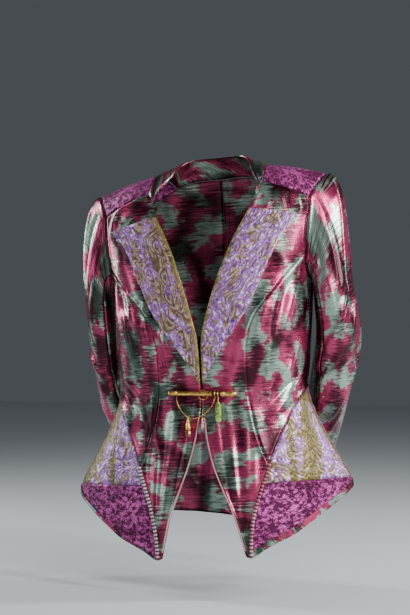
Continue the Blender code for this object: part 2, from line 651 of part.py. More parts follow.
def sleeve_grid(side):
    """The whole sleeve as rings: a cap from the armhole to the upper arm, then the tube to the cuff."""
    start, leave = armhole(side)
    count = len(start)
    tube, down = sleeve_rings(count, side)
    start = start + SLEEVE_GAP * leave
    reach = np.linalg.norm(tube[0] - start, axis=-1, keepdims=True)
    first, second = start + CAP_HANDLES[0] * reach * leave, tube[0] - CAP_HANDLES[1] * reach * down
    share = (np.linspace(0, 1, SLEEVE_CAP_ROWS + 1) ** CAP_SPACING)[:-1, None, None]
    cap = ((1 - share) ** 3 * start + 3 * share * (1 - share) ** 2 * first
           + 3 * share ** 2 * (1 - share) * second + share ** 3 * tube[0])
    grid = np.concatenate((cap, tube))
    out = sleeve_out(grid)
    around = np.arange(count) / count
    down_share = np.linspace(0, 1, len(grid))[:, None]
    round_mm, down_mm = around[None] * SLEEVE_ROUND, down_share * SLEEVE_LONG
    rows = []
    for half, start_round, start_down, end_round, end_down, width, crest in SLEEVE_FOLDS:
        end_round += 0 if abs(end_round - start_round) < 0.5 else 1
        rows.append((half, start_round * SLEEVE_ROUND, start_down * SLEEVE_LONG,
                     end_round * SLEEVE_ROUND, end_down * SLEEVE_LONG, width, crest))
    crest = ridges(rows, side, round_mm, down_mm) + ridges(rows, side, round_mm + SLEEVE_ROUND, down_mm)
    grid = beside_body(grid + out * crest[..., None])
    return grid, sleeve_out(grid)


def beside_body(grid):
    """Sleeve points moved out sideways where they would touch the body, as cloth pressed to it."""
    half, front, back, power = torso(grid[..., 2])
    depth = np.where(grid[..., 1] < 0, front, back)
    share = np.clip(np.abs(grid[..., 1]) / depth, 0, 1)
    wall_x = half * (1 - share ** power) ** (1 / power) + BESIDE_BODY
    below = np.clip((ARMHOLE_FOOT - grid[..., 2]) / BESIDE_FADE, 0, 1)
    inside = wall_x - grid[..., 0]
    push = (inside + np.sqrt(inside ** 2 + BESIDE_SOFTNESS ** 2)) / 2 * below
    return grid + push[..., None] * (1, 0, 0)


def sleeve_out(grid):
    """Outward directions of a closed tube of rings."""
    around = np.roll(grid, -1, axis=1) - np.roll(grid, 1, axis=1)
    out = unit(np.cross(np.gradient(grid, axis=0), around))
    return out if out[-1, 0, 0] > 0 else -out


def make_sleeve(side, finish):
    """Two-piece satin sleeve: a top sleeve outside and an under sleeve on the body side."""
    grid, out = sleeve_grid(side)
    count = grid.shape[1]
    spans = {"top_sleeve": np.arange(TOP_SLEEVE_BACK, count + TOP_SLEEVE_FRONT + 1) % count,
             "under_sleeve": np.arange(TOP_SLEEVE_FRONT, TOP_SLEEVE_BACK + 1)}
    for name, columns in spans.items():
        outer = eased(grid[:, columns], top=0.0, bottom=0.0)
        wall(f"{name}_{SIDE_NAMES[side]}", outer, outer - SATIN * out[:, columns], side, finish)


def upright(points):
    """Hard pieces hang level: they only take the sideways shift of the cloth at the clasp."""
    return points + (smooth(CLASP_Z, *table(HIP_SHIFT)), 0, 0)


def turned(name, profile, centre, axis, finish, sides=12):
    """A turned piece: a profile of (distance along the axis, radius), closed at its two ends."""
    turn = np.arange(sides) / sides * 2 * math.pi
    first = Vector((0, 1, 0)) if axis[0] else Vector((1, 0, 0))
    frame = np.array(((*first,), (*Vector(axis).cross(first),), axis), float)
    rings = [np.stack((radius * np.cos(turn), radius * np.sin(turn), np.full(sides, along)), -1)
             for along, radius in profile]
    points = np.concatenate(rings) @ frame + np.asarray(centre, float)
    index = np.arange(len(profile) * sides).reshape(-1, sides)
    after = np.roll(index, -1, axis=1)
    faces = np.stack((index[:-1], after[:-1], after[1:], index[1:]), -1).reshape(-1, 4).tolist()
    faces += [index[0, ::-1].tolist(), index[-1].tolist()]
    return solid(name, upright(points), faces, finish)


def placed(shape, start, radius=1.0, length=1.0):
    """A table of (distance, radius) moved to a start and stretched."""
    return [(start + length * along, radius * wide) for along, wide in shape]


def tube(name, line, radius, finish, sides=6):
    """A round wire of even thickness along a line of points."""
    line = np.asarray(line, float)
    along = unit(np.gradient(line, axis=0))
    across = unit(np.cross(along, (0.0, 1.0, 0.0)))
    up = np.cross(across, along)
    turn = np.arange(sides) / sides * 2 * math.pi
    rings = line[:, None] + radius * (across[:, None] * np.cos(turn)[None, :, None]
                                      + up[:, None] * np.sin(turn)[None, :, None])
    index = np.arange(len(line) * sides).reshape(-1, sides)
    after = np.roll(index, -1, axis=1)
    faces = np.stack((index[:-1], after[:-1], after[1:], index[1:]), -1).reshape(-1, 4).tolist()
    faces += [index[0, ::-1].tolist(), index[-1].tolist()]
    return solid(name, upright(rings.reshape(-1, 3)), faces, finish)


def ring(name, centre, axis, radius, wire, finish, sides=16, wire_sides=6):
    """A wire ring round an axis."""
    turn = np.arange(sides) / sides * 2 * math.pi
    small = np.arange(wire_sides) / wire_sides * 2 * math.pi
    reach = radius + wire * np.cos(small)
    points = np.stack((reach * np.cos(turn)[:, None], reach * np.sin(turn)[:, None],
                       np.broadcast_to(wire * np.sin(small), (sides, wire_sides))), -1)
    first = Vector((0, 1, 0)) if axis[0] else Vector((1, 0, 0))
    frame = np.array(((*first,), (*Vector(axis).cross(first),), axis), float)
    points = points.reshape(-1, 3) @ frame + np.asarray(centre, float)
    index = np.arange(sides * wire_sides).reshape(sides, wire_sides)
    near = np.roll(index, -1, axis=0)
    faces = np.stack((index, near, np.roll(near, -1, axis=1), np.roll(index, -1, axis=1)), -1)
    return solid(name, upright(points), faces.reshape(-1, 4).tolist(), finish)


def fused(name, pieces, finish):
    """Pieces that run into each other, made one closed body."""
    base = pieces[0]
    for piece in pieces[1:]:
        union = base.modifiers.new("Union", "BOOLEAN")
        union.operation = "UNION"
        union.solver = "EXACT"
        union.object = piece
        bpy.context.view_layer.objects.active = base
        bpy.ops.object.modifier_apply(modifier=union.name)
        bpy.data.objects.remove(piece)
    base.name = name
    base.data.materials.clear()
    base.data.materials.append(finish)
    return base


def make_clasp(gold, dark, amber, pink, green):
    """Bar clasp across the waist, the ring behind it, two sewn shanks, chain and hanging drops."""
    axis = (1.0, 0.0, 0.0)
    at = (0.0, CLASP_Y, CLASP_Z)
    start, end, radius = BAR
    hammered = [(start + share * (end - start), radius * (1 - BAR_DENT * ((row + 1) % 2)))
                for row, share in enumerate(np.linspace(0, 1, BAR_DENTS + 1))]
    turned("clasp_bar", [(start - BAR_TIP, radius * 0.6)] + hammered, at, axis, gold)
    start, end, radius = BAR_COLLAR
    rim = radius * COLLAR_RIM_RADIUS
    turned("clasp_collar", [(start, rim), (start + COLLAR_RIM, radius), (end - COLLAR_RIM, radius),
                            (end, rim)], at, axis, dark)
    start, end, radius = BAR_KNOB
    turned("clasp_knob", placed(KNOB_SHAPE, start, radius, end - start), at, axis, gold)
    ring_y = CLASP_Y + BAR[2] + METAL_GAP + RING_WIRE
    ring("clasp_ring", (RING_AT[0], ring_y, RING_AT[1]), (0.0, 1.0, 0.0), RING_RADIUS, RING_WIRE, gold)
    for name, x in zip(("clasp_shank_right", "clasp_shank_left"), SHANKS):
        back = CLASP_Y + (BAR[2] if x < 0 else BAR_KNOB[2] * KNOB_SHAPE[3][1]) + METAL_GAP
        level = CLASP_Z - x * math.tan(math.radians(smooth(CLASP_Z, *table(LEAN))))
        chart = np.array((angle_at(abs(x), level, "front"), level))
        cloth = body(chart, LEFT if x > 0 else RIGHT)[0][1] - 2 * SEAT
        turned(name, [(back, SHANK_RADIUS), (cloth, SHANK_RADIUS)], (x, 0.0, CLASP_Z), (0.0, 1.0, 0.0),
               gold, 8)
    chain = np.asarray(CHAIN_PATH, float)
    gaps = np.hypot(*np.diff(chain, axis=0).T)
    places = np.concatenate(((0,), np.cumsum(gaps)))
    fine = smooth(np.linspace(0, places[-1], CHAIN_PLACES), places, chain)
    tube("chain", np.stack((fine[:, 0], chain_depth(fine[:, 1]), fine[:, 1]), -1), CHAIN_WIRE, gold)
    bar_ring = BAR[2] + RING_GAP + BAR_RING_WIRE
    for name, x in zip(("chain_ring_right", "chain_ring_left"), CHAIN_RINGS):
        size = bar_ring if x < 0 else bar_ring + BAR_COLLAR[2] - BAR[2]
        ring(name, (x, CLASP_Y, CLASP_Z), axis, size, BAR_RING_WIRE, gold)
    make_amber_drop(gold, amber)
    make_green_drop(gold, green)
    make_pendant(gold, pink, ring_y)


def chain_depth(z):
    """The chain hangs out over the hips, the further the lower it is."""
    return CLASP_Y - CHAIN_LEAN * (CHAIN_PATH[0][1] - z)


def chain_point(x):
    """Middle of the chain wire below a place across the waist."""
    z = float(smooth(np.float64(x), *table(CHAIN_PATH[1:-1])))
    return np.array((x, chain_depth(z), z))


def make_amber_drop(gold, amber):
    """Amber drop in a gold cap, whose eye is threaded on the chain."""
    hang = chain_point(AMBER_X)
    eye, wire = AMBER_EYE
    low = hang[2] - (eye - wire - CHAIN_WIRE - METAL_GAP)
    loop = ring("amber_eye", (hang[0], hang[1], low), (1.0, 0.0, 0.0), eye, wire, gold)
    top = low - eye + WELD
    under = (hang[0], hang[1], 0.0)
    cap = turned("amber_crown", placed(AMBER_CAP, top), under, (0.0, 0.0, 1.0), gold, 14)
    fused("amber_cap", [cap, loop], gold)
    glass = top + AMBER_CAP[0][0] - METAL_GAP
    turned("amber_drop", placed(AMBER_DROP, glass), under, (0.0, 0.0, 1.0), amber, 16)


def make_green_drop(gold, green):
    """Green glass prism on a stem, whose ring is threaded on the bar."""
    radius = BAR_COLLAR[2] + RING_GAP + BAR_RING_WIRE
    loop = ring("green_eye", (GREEN_X, CLASP_Y, CLASP_Z), (1.0, 0.0, 0.0), radius, BAR_RING_WIRE, gold)
    foot = CLASP_Z - radius
    under = (GREEN_X, CLASP_Y, 0.0)
    stem = turned("green_stem", placed(GREEN_STEM, foot), under, (0.0, 0.0, 1.0), gold, 8)
    fused("green_cap", [stem, loop], gold)
    top = foot + GREEN_STEM[0][0] - METAL_GAP
    turned("green_drop", placed(GREEN_DROP, top), under, (0.0, 0.0, 1.0), green, 6)


def make_pendant(gold, pink, ring_y):
    """Short chain from the ring of the clasp, with a small pink drop on its end."""
    eye, wire = PENDANT_EYE
    low = RING_AT[1] - RING_RADIUS - (eye - wire - RING_WIRE - METAL_GAP)
    loop = ring("pendant_eye", (PENDANT_X, ring_y, low), (1.0, 0.0, 0.0), eye, wire, gold)
    top = low - eye + WELD
    end_y, end_z = ring_y - PENDANT_LEAN, top - PENDANT_CHAIN
    under = (PENDANT_X, end_y, 0.0)
    chain = tube("pendant_stem", [(PENDANT_X, ring_y, top), (PENDANT_X, end_y, end_z)], BAR_RING_WIRE, gold)
    crown = turned("pendant_crown", placed(PENDANT_CROWN, end_z), under, (0.0, 0.0, 1.0), gold, 8)
    fused("pendant_chain", [chain, loop, crown], gold)
    glass = end_z + PENDANT_CROWN[0][0] - METAL_GAP
    turned("pendant_drop", placed(PENDANT_DROP, glass), under, (0.0, 0.0, 1.0), pink, 10)


def clear_scene():
    for thing in list(bpy.data.objects):
        bpy.data.objects.remove(thing)


def build():
    clear_scene()
    satin = material("satin_jacquard", (0.32, 0.08, 0.14), 0.32)
    velvet = material("velvet", (0.38, 0.10, 0.36), 0.85)
    brocade = material("brocade", (0.45, 0.36, 0.50), 0.55)
    corded = material("corded_piping", (0.62, 0.42, 0.48), 0.5)
    rose = material("rose_piping", (0.75, 0.42, 0.48), 0.45)
    gold = material("gold_metal", (0.78, 0.52, 0.18), 0.28, 1.0)
    dark = material("dark_metal", (0.10, 0.07, 0.05), 0.4, 0.8)
    amber = material("amber_glass", (0.55, 0.12, 0.02), 0.12)
    pink = material("pink_glass", (0.75, 0.30, 0.25), 0.15)
    green = material("green_glass", (0.30, 0.45, 0.18), 0.12)
    for side in (LEFT, RIGHT):
        make_front(side, satin)
        make_side_front(side, satin)
        make_back(side, satin)
        make_yoke(side, velvet)
        make_gore(side, brocade)
        make_hip_panel(side, velvet)
        make_hem_binding(side, satin)
        make_hip_piping(side, corded)
        make_edge_piping(side, rose)
        make_lapel(side, brocade)
        make_sleeve(side, satin)
    make_collar(satin)
    make_clasp(gold, dark, amber, pink, green)


build()
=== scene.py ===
import math

import bpy
import numpy as np
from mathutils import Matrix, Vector


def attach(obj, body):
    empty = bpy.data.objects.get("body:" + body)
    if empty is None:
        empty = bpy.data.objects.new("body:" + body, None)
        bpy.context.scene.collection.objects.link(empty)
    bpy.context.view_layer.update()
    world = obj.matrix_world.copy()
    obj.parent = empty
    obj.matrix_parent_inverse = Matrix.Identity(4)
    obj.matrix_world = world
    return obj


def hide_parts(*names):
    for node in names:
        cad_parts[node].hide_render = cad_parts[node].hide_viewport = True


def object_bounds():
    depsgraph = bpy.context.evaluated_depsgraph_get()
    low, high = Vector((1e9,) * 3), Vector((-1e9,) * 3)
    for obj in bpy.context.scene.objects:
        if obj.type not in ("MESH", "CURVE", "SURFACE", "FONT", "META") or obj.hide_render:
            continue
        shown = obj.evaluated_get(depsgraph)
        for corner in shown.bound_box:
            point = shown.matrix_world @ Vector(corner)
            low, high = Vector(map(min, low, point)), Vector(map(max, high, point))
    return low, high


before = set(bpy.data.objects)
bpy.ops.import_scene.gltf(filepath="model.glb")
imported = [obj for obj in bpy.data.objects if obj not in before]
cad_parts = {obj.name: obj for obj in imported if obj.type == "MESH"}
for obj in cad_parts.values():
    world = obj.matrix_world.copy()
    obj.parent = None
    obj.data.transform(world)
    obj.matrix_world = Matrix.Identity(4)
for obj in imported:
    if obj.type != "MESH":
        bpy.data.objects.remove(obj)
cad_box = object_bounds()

# Camera, floor and lights. The jacket is seen from a little to its left, level with its waist, over a
# pale floor. A tall lamp lights it from the right, a weak one from the left and a small one from high
# in front, and a strip lamp stands behind each shoulder.
VIEW_TURN = math.radians(12)
VIEW_DISTANCE = 3.2
VIEW_LENS = 107.0
VIEW_ASIDE, VIEW_HEIGHT = -0.014, -0.2406
AIR_COLOUR, AIR_STRENGTH = (0.46, 0.52, 0.58, 1), 0.15
to_right = Vector((math.cos(VIEW_TURN), math.sin(VIEW_TURN), 0))
towards_camera = Vector((math.sin(VIEW_TURN), -math.cos(VIEW_TURN), 0))
looked_at = to_right * VIEW_ASIDE + Vector((0, 0, VIEW_HEIGHT))

camera = bpy.data.objects.new("camera", bpy.data.cameras.new("camera"))
camera.data.lens = VIEW_LENS
camera.data.sensor_width = 36.0
camera.location = looked_at + towards_camera * VIEW_DISTANCE
camera.rotation_euler = (-towards_camera).to_track_quat("-Z", "Y").to_euler()
bpy.context.collection.objects.link(camera)
bpy.context.scene.camera = camera

# Lamps: name, place, size across and up, power in watts, colour
LAMPS = (
    ("key_lamp", (2.35, -1.6, 0.55), (0.45, 1.5), 92, (1.0, 0.98, 0.95)),
    ("fill_lamp", (-2.3, -1.5, 0.2), (0.20, 1.7), 12, (0.93, 0.96, 1.0)),
    ("front_lamp", (1.3, -2.9, 1.2), (0.8, 0.7), 17, (1.0, 0.98, 0.96)),
    ("left_rim_lamp", (1.8, 0.5, 0.5), (0.3, 1.7), 40, (1.0, 1.0, 1.0)),
    ("right_rim_lamp", (-1.8, 0.5, 0.5), (0.3, 1.7), 34, (0.95, 0.98, 1.0)),
)
for name, place, (across, up), power, colour in LAMPS:
    lamp = bpy.data.lights.new(name, "AREA")
    lamp.shape = "RECTANGLE"
    lamp.size, lamp.size_y = across, up
    lamp.energy = power
    lamp.color = colour
    holder = bpy.data.objects.new(name, lamp)
    holder.location = place
    holder.rotation_euler = (looked_at - Vector(place)).to_track_quat("-Z", "Y").to_euler()
    bpy.context.collection.objects.link(holder)

sky = bpy.data.worlds.new("studio_air")
sky.use_nodes = True
air = sky.node_tree.nodes["Background"].inputs
air["Color"].default_value, air["Strength"].default_value = AIR_COLOUR, AIR_STRENGTH
bpy.context.scene.world = sky


class Value:
    """A socket of the material being made. Sums on it add the Math nodes that work them out."""

    def __init__(self, tree, socket):
        self.tree, self.socket = tree, socket

    def math(self, operation, *others):
        step = self.tree.nodes.new("ShaderNodeMath")
        step.operation = operation
        for slot, item in zip(step.inputs, (self, *others)):
            plug(self.tree, slot, item)
        return Value(self.tree, step.outputs[0])

    def __add__(self, other):
        return self.math("ADD", other)

    __radd__ = __add__

    def __mul__(self, other):
        return self.math("MULTIPLY", other)

    __rmul__ = __mul__

    def __sub__(self, other):
        return self.math("SUBTRACT", other)

    def __rsub__(self, other):
        return (self * -1) + other

    def __truediv__(self, other):
        return self.math("DIVIDE", other)

    def __abs__(self):
        return self.math("ABSOLUTE")


def plug(tree, slot, item):
    """Link a value into a socket, or set the socket to a plain number, colour or vector."""
    if isinstance(item, Value):
        tree.links.new(item.socket, slot)
    elif hasattr(item, "__len__") and len(item) == 3 and len(slot.default_value) == 4:
        slot.default_value = (*item, 1.0)
    else:
        slot.default_value = item


class Finish:
    """A material in the making, around one Principled shader."""

    def __init__(self, name, **constants):
        self.material = bpy.data.materials.new(name)
        self.material.use_nodes = True
        self.tree = self.material.node_tree
        self.shader = self.tree.nodes["Principled BSDF"]
        self.wear(**constants)

    def wear(self, **sockets):
        """Set or link sockets of the shader, named with _ for each space."""
        for name, item in sockets.items():
            plug(self.tree, self.shader.inputs[name.replace("_", " ")], item)

    def node(self, kind, settings=None, output=0, **sockets):
        """Add one node: its settings first, then the values or links of its sockets."""
        made = self.tree.nodes.new("ShaderNode" + kind)
        for name, item in (settings or {}).items():
            setattr(made, name, item)
        for name, item in sockets.items():
            key = int(name[1:]) if name[0] == "n" and name[1:].isdigit() else name.replace("_", " ")
            plug(self.tree, made.inputs[key], item)
        return Value(self.tree, made.outputs[output])

    def mix(self, share, first, second):
        """A colour between two, by a share from 0 to 1."""
        return self.node("Mix", {"data_type": "RGBA"}, 2, n0=share, n6=first, n7=second)

    def noise(self, at, stretch, detail=2.0, distortion=0.0, shift=(0, 0, 0)):
        """Cloudy noise from 0 to 1, whose lumps are one over the stretch long each way."""
        spot = self.node("Mapping", None, Vector=at, Scale=stretch, Location=shift)
        return self.node("TexNoise", None, 0, Vector=spot, Scale=1.0, Detail=detail, Distortion=distortion)

    def from_cell(self, at, stretch, shift, unevenness):
        """Offsets across and down from the middle of the nearest cell of an uneven cell pattern."""
        spot = self.node("Mapping", None, Vector=at, Scale=stretch, Location=shift)
        centre = self.node("TexVoronoi", {"feature": "F1", "voronoi_dimensions": "2D"}, 2,
                           Vector=spot, Scale=1.0, Randomness=unevenness)
        return self.parts(self.node("VectorMath", {"operation": "SUBTRACT"}, 0, n0=spot, n1=centre))

    def parts(self, vector):
        """The first two parts of a vector."""
        return [self.node("SeparateXYZ", None, i, n0=vector) for i in (0, 1)]

    def step(self, value, low, high):
        """A soft step: 0 below low, 1 above high."""
        return self.node("MapRange", {"interpolation_type": "SMOOTHSTEP"}, 0,
                         n0=value, n1=low, n2=high, n3=0.0, n4=1.0)

    def bump(self, height, distance, strength=1.0):
        """Raise the surface by a height from 0 to 1 times a distance in metres."""
        self.wear(Normal=self.node("Bump", None, 0, Height=height, Distance=distance, Strength=strength))


floor_mesh = bpy.data.meshes.new("floor")
FLOOR_HALF, FLOOR_BELOW = 6.0, 0.06
floor_mesh.from_pydata([(x * FLOOR_HALF, y * FLOOR_HALF, cad_box[0][2] - FLOOR_BELOW)
                        for x, y in ((-1, -1), (1, -1), (1, 1), (-1, 1))], [], [(0, 1, 2, 3)])
floor = bpy.data.objects.new("floor", floor_mesh)
bpy.context.collection.objects.link(floor)
paper = Finish("pale_paper", Base_Color=(0.62, 0.66, 0.69), Roughness=0.85)
floor_mesh.materials.append(paper.material)


# Fronts, in satin jacquard.
# Each front runs from the yoke down to a long point below the waist. It is cut in the main satin,
# interlined, and pressed over the front edge; the fold of the lapel runs down its inner edge.
LEFT, RIGHT = 1, -1
SIDE_NAMES = {LEFT: "left", RIGHT: "right"}
MM = 0.001
FINENESS = 5
SATIN_THICKNESS = 1.5
SEAM_EASE = 0.2
RIM_ANGLE = 50

# Level cuts through the worn form: height, half width, depth in front, depth behind, squareness
TORSO = (
    (30, 214, 62, 62, 2.3), (0, 212, 72, 75, 2.3), (-60, 210, 88, 98, 2.3), (-120, 197, 105, 110, 2.3),
    (-200, 178, 121, 108, 2.3), (-265, 174, 124, 100, 2.2), (-340, 169, 112, 88, 2.2),
    (-390, 167, 104, 84, 2.1), (-450, 190, 109, 97, 1.8), (-500, 218, 116, 111, 1.6),
    (-541, 240, 121, 120, 1.5), (-600, 238, 127, 127, 1.5), (-690, 232, 130, 131, 1.5),
)
# Shoulder line: distance from the middle, height
SHOULDER_LINE = ((0, 24), (60, 11), (92, 0), (124, -5), (155, -13), (201, -27), (230, -38))
SHOULDER_ROUND = 60.0
# Lean of the level lines in degrees, and the sideways shift of the hips, by height
LEAN = ((30, 5.0), (-100, 4.9), (-160, 4.0), (-380, 2.6), (-540, 2.4), (-690, 3.0))
HIP_SHIFT = ((30, 0), (-200, 0), (-380, 2), (-541, 3.5), (-690, 9))
# Soft folds in the body cloth of each half: start x and z, end x and z, half width, height
FRONT_FOLDS = {
    LEFT: ((60, -300, 40, -400, 9, 2.6), (42, -420, 62, -560, 10, 3.2), (88, -420, 100, -480, 9, 2.0),
        (125, -250, 105, -340, 12, 2.8), (150, -180, 120, -150, 12, 2.4), (150, -380, 118, -420, 9, 2.2)),
    RIGHT: ((62, -285, 45, -395, 10, 3.0), (45, -425, 68, -600, 11, 3.4), (128, -215, 118, -262, 8, 4.5),
        (135, -250, 112, -360, 12, 3.0), (140, -150, 160, -100, 12, 2.4), (100, -410, 88, -470, 10, 2.4),
        (150, -372, 120, -405, 9, 2.4)),
}
BACK_FOLDS = {
    LEFT: ((55, -330, 45, -440, 12, 3.0), (120, -130, 95, -250, 16, 3.0), (35, -480, 50, -610, 15, 4.0)),
    RIGHT: ((60, -340, 52, -450, 12, 3.0), (115, -120, 100, -240, 16, 2.6), (45, -470, 62, -610, 15, 4.4)),
}
# Seams on the left half: which face they lie on, steps along them, points (distance from middle, height)
NECK_FRONT = ("front", 2, ((100, -33), (95, -44), (81, -77)))
FOLD = ("front", 13, ((81, -77), (55, -130), (30, -195), (14, -248), (4, -290), (2, -330), (2, -371)))
FRONT_EDGE = ("front", 16, ((2, -371), (2, -418), (4, -432), (8, -460), (18, -501), (35, -547), (50, -583),
                            (61, -618), (68, -645), (73, -664)))
YOKE_FRONT = ("front", 6, ((100, -33), (178, -67)))
ARMHOLE_FRONT = ("front", 4, ((178, -67), (177, -95), (174, -130), (172, -159)))
PRINCESS = ("front", 18, ((172, -159), (145, -192), (120, -222), (92, -258), (79, -300), (77, -345),
                          (80, -400), (92, -459), (113, -510)))
GORE_LOW = ("front", 2, ((113, -510), (103, -541)))
HIP_FRONT = ("front", 7, ((103, -541), (91, -580), (83, -622), (80, -667)))
# Places worked out along a seam, and the mean reach of the body used to space them
SEAM_PLACES, MEAN_REACH = 241, 150.0

# Finer creases of the satin fronts and side fronts, as the folds above but tapered at both ends;
# a height below 0 is a trough, and the last row of each half is the hollow beside the lapel
CREASES = {
    LEFT: ((156, -52, 168, -92, 7, 3.0), (140, -60, 150, -100, 5, -2.0), (118, -56, 110, -88, 8, 2.0),
        (162, -196, 138, -290, 8, 4.2), (146, -205, 122, -300, 6, -2.6), (122, -300, 98, -378, 8, 4.0),
        (136, -300, 116, -384, 5, -2.4), (158, -300, 140, -372, 6, 2.8), (150, -340, 116, -392, 5, 2.6),
        (162, -352, 118, -408, 4, -2.0), (150, -392, 106, -446, 4, 2.0), (168, -215, 164, -330, 5, 2.4),
        (112, -236, 92, -300, 6, 2.2), (62, -292, 48, -352, 6, -2.2), (36, -330, 82, -352, 5, 2.2),
        (24, -352, 78, -374, 4, -1.8), (20, -398, 34, -486, 6, 2.4), (30, -420, 56, -590, 6, -2.6),
        (72, -430, 80, -560, 7, 2.6), (60, -470, 70, -600, 5, -2.0), (88, -470, 90, -560, 5, 1.6),
        (126, -158, 62, -286, 13, -6.0)),
    RIGHT: ((152, -52, 166, -96, 7, 3.0), (112, -66, 140, -92, 7, 3.0), (118, -84, 152, -112, 5, -2.2),
        (116, -247, 86, -332, 6, 4.4), (97, -262, 68, -366, 7, 4.6), (108, -262, 78, -352, 4, -3.2),
        (81, -274, 57, -367, 5, -3.6), (51, -284, 25, -358, 7, 3.4), (128, -262, 104, -350, 5, -2.6),
        (140, -236, 122, -330, 6, 2.6), (160, -200, 146, -300, 6, 2.6), (152, -190, 134, -250, 4, -2.2),
        (150, -352, 108, -392, 5, 2.6), (158, -372, 106, -420, 4, -2.0), (146, -384, 104, -440, 4, 2.0),
        (22, -370, 70, -392, 4, -1.8), (91, -392, 74, -487, 6, 2.8), (30, -396, 46, -500, 6, 2.6),
        (26, -430, 58, -600, 6, -2.4), (72, -470, 82, -600, 6, 2.2), (98, -440, 100, -530, 5, -1.8),
        (126, -158, 58, -290, 11, -5.0)),
}
CREASE_FADE = 5.0
# Where in a half sine a tapered crest starts, and the power of its fall
TAPER_START, TAPER_POWER = 0.06, 0.6
# Places of the two added lines between an edge and the next line
EDGE_LINES = (0.2, 0.5)
# The knotted crumple on the right front: place, flatness, size of its rings, reach, height
KNOT = (109, -230, 0.8, 3.4, 10.0, 3.2)
# Seam groove and the small roll beside it: depth or height, reach, place from the edge
SEAM_GROOVE = (-1.2, 1.4, 0.0)
SEAM_ROLL = (0.6, 2.0, 3.6)


def smooth(at, places, values):
    """A smooth curve through a table: cubic pieces whose slopes come from the neighbouring rows."""
    places, values = np.asarray(places, float), np.asarray(values, float)
    if places[0] > places[-1]:
        places, values = places[::-1], values[::-1]
    slopes = np.gradient(values, places, axis=0)
    at = np.clip(at, places[0], places[-1])
    row = np.clip(np.searchsorted(places, at, side="right") - 1, 0, len(places) - 2)
    span = places[row + 1] - places[row]
    share = (at - places[row]) / span
    if values.ndim > 1:
        span, share = span[..., None], share[..., None]
    square, cube = share ** 2, share ** 3
    return ((2 * cube - 3 * square + 1) * values[row] + (cube - 2 * square + share) * span * slopes[row]
            + (3 * square - 2 * cube) * values[row + 1] + (cube - square) * span * slopes[row + 1])


def table(rows):
    """The first column of a table, and its other columns together."""
    rows = np.asarray(rows, float)
    return rows[:, 0], rows[:, 1:] if rows.shape[1] > 2 else rows[:, 1]


def torso(z):
    """Half width, front depth, back depth and squareness of the level cut at each height."""
    return np.moveaxis(smooth(z, *table(TORSO)), -1, 0)


def shoulder_line(x):
    """Height of the shoulder line over each distance from the middle."""
    return smooth(x, *table(SHOULDER_LINE))


def run(points, axis=0):
    """Length gone along an axis of a line or grid of points, from 0 at its start."""
    gaps = np.linalg.norm(np.diff(points, axis=axis), axis=-1)
    return np.concatenate((np.zeros_like(gaps.take([0], axis=axis)), np.cumsum(gaps, axis=axis)), axis=axis)


def unit(vectors):
    """Vectors made one long."""
    return vectors / np.maximum(np.linalg.norm(vectors, axis=-1, keepdims=True), 1e-9)


def angle_at(x, z, face):
    """Angle round the body, from 0 at centre front to pi at centre back, of a point x from the middle."""
    half, _, _, power = torso(z)
    angle = np.arcsin(np.clip(x / half, 0, 1) ** (power / 2))
    return angle if face == "front" else math.pi - angle


def ridges(rows, first, second, tapered=False):
    """Height of the folds at each place: a rounded crest along each line, exp(-(distance / width)^2).

    A tapered crest also falls away at its two ends, as a power of sin(pi share).
    """
    height = np.zeros(np.broadcast(first, second).shape)
    for x1, z1, x2, z2, width, crest in rows:
        way = np.array((x2 - x1, z2 - z1))
        share = np.clip(((first - x1) * way[0] + (second - z1) * way[1]) / (way @ way), 0, 1)
        far = np.hypot(first - x1 - share * way[0], second - z1 - share * way[1])
        into = TAPER_START + (1 - 2 * TAPER_START) * share
        fade = np.sin(math.pi * into) ** TAPER_POWER if tapered else 1.0
        height = height + crest * fade * np.exp(-(far / width) ** 2)
    return height


def body(chart, side):
    """Points and outward directions on the worn form, from angles round it and heights.

    A level cut is x = w sin^(2/n), y = -d cos^(2/n). Within SHOULDER_ROUND below the shoulder line
    the depth closes as a quarter ellipse, and the soft folds stand out along the outward direction.
    """
    angle, z = chart[..., 0], chart[..., 1]
    half, front, back, power = torso(z)
    sine, cosine = np.abs(np.sin(angle)), np.cos(angle)
    depth = np.where(cosine > 0, front, back)
    x = half * sine ** (2 / power)
    below = np.clip((shoulder_line(x) - z) / SHOULDER_ROUND, 0, 1)
    closing = np.sqrt(np.clip(1 - (1 - below) ** 2, 0, 1))
    y = -np.sign(cosine) * depth * np.abs(cosine) ** (2 / power) * closing
    over, under = torso(z + 1), torso(z - 1)
    width_slope = (over[0] - under[0]) / 2
    depth_slope = np.where(cosine > 0, over[1] - under[1], over[2] - under[2]) / 2
    line_slope = (shoulder_line(x + 1) - shoulder_line(x - 1)) / 2
    roll = cosine ** 2 * (1 - below) / SHOULDER_ROUND
    rim = 2 - 2 / power
    out = unit(np.stack((
        closing ** 2 * sine ** rim / half - roll * line_slope,
        -np.sign(cosine) * closing * np.abs(cosine) ** rim / depth,
        roll - closing ** 2 * (sine ** 2 * width_slope / half + cosine ** 2 * depth_slope / depth),
    ), -1))
    folds = np.where(cosine > 0, *(ridges(rows.get(side, ()), x, z) for rows in (FRONT_FOLDS, BACK_FOLDS)))
    return np.stack((x, y, z), -1) + folds[..., None] * out, out


def pose(points, side=LEFT):
    """Mirror a half if it is the right one, then lean the level lines and shift the hips."""
    x, y, z = points[..., 0] * side, points[..., 1], points[..., 2]
    lean = np.tan(np.radians(smooth(z, *table(LEAN))))
    return np.stack((x + smooth(z, *table(HIP_SHIFT)), y, z + x * lean), -1)


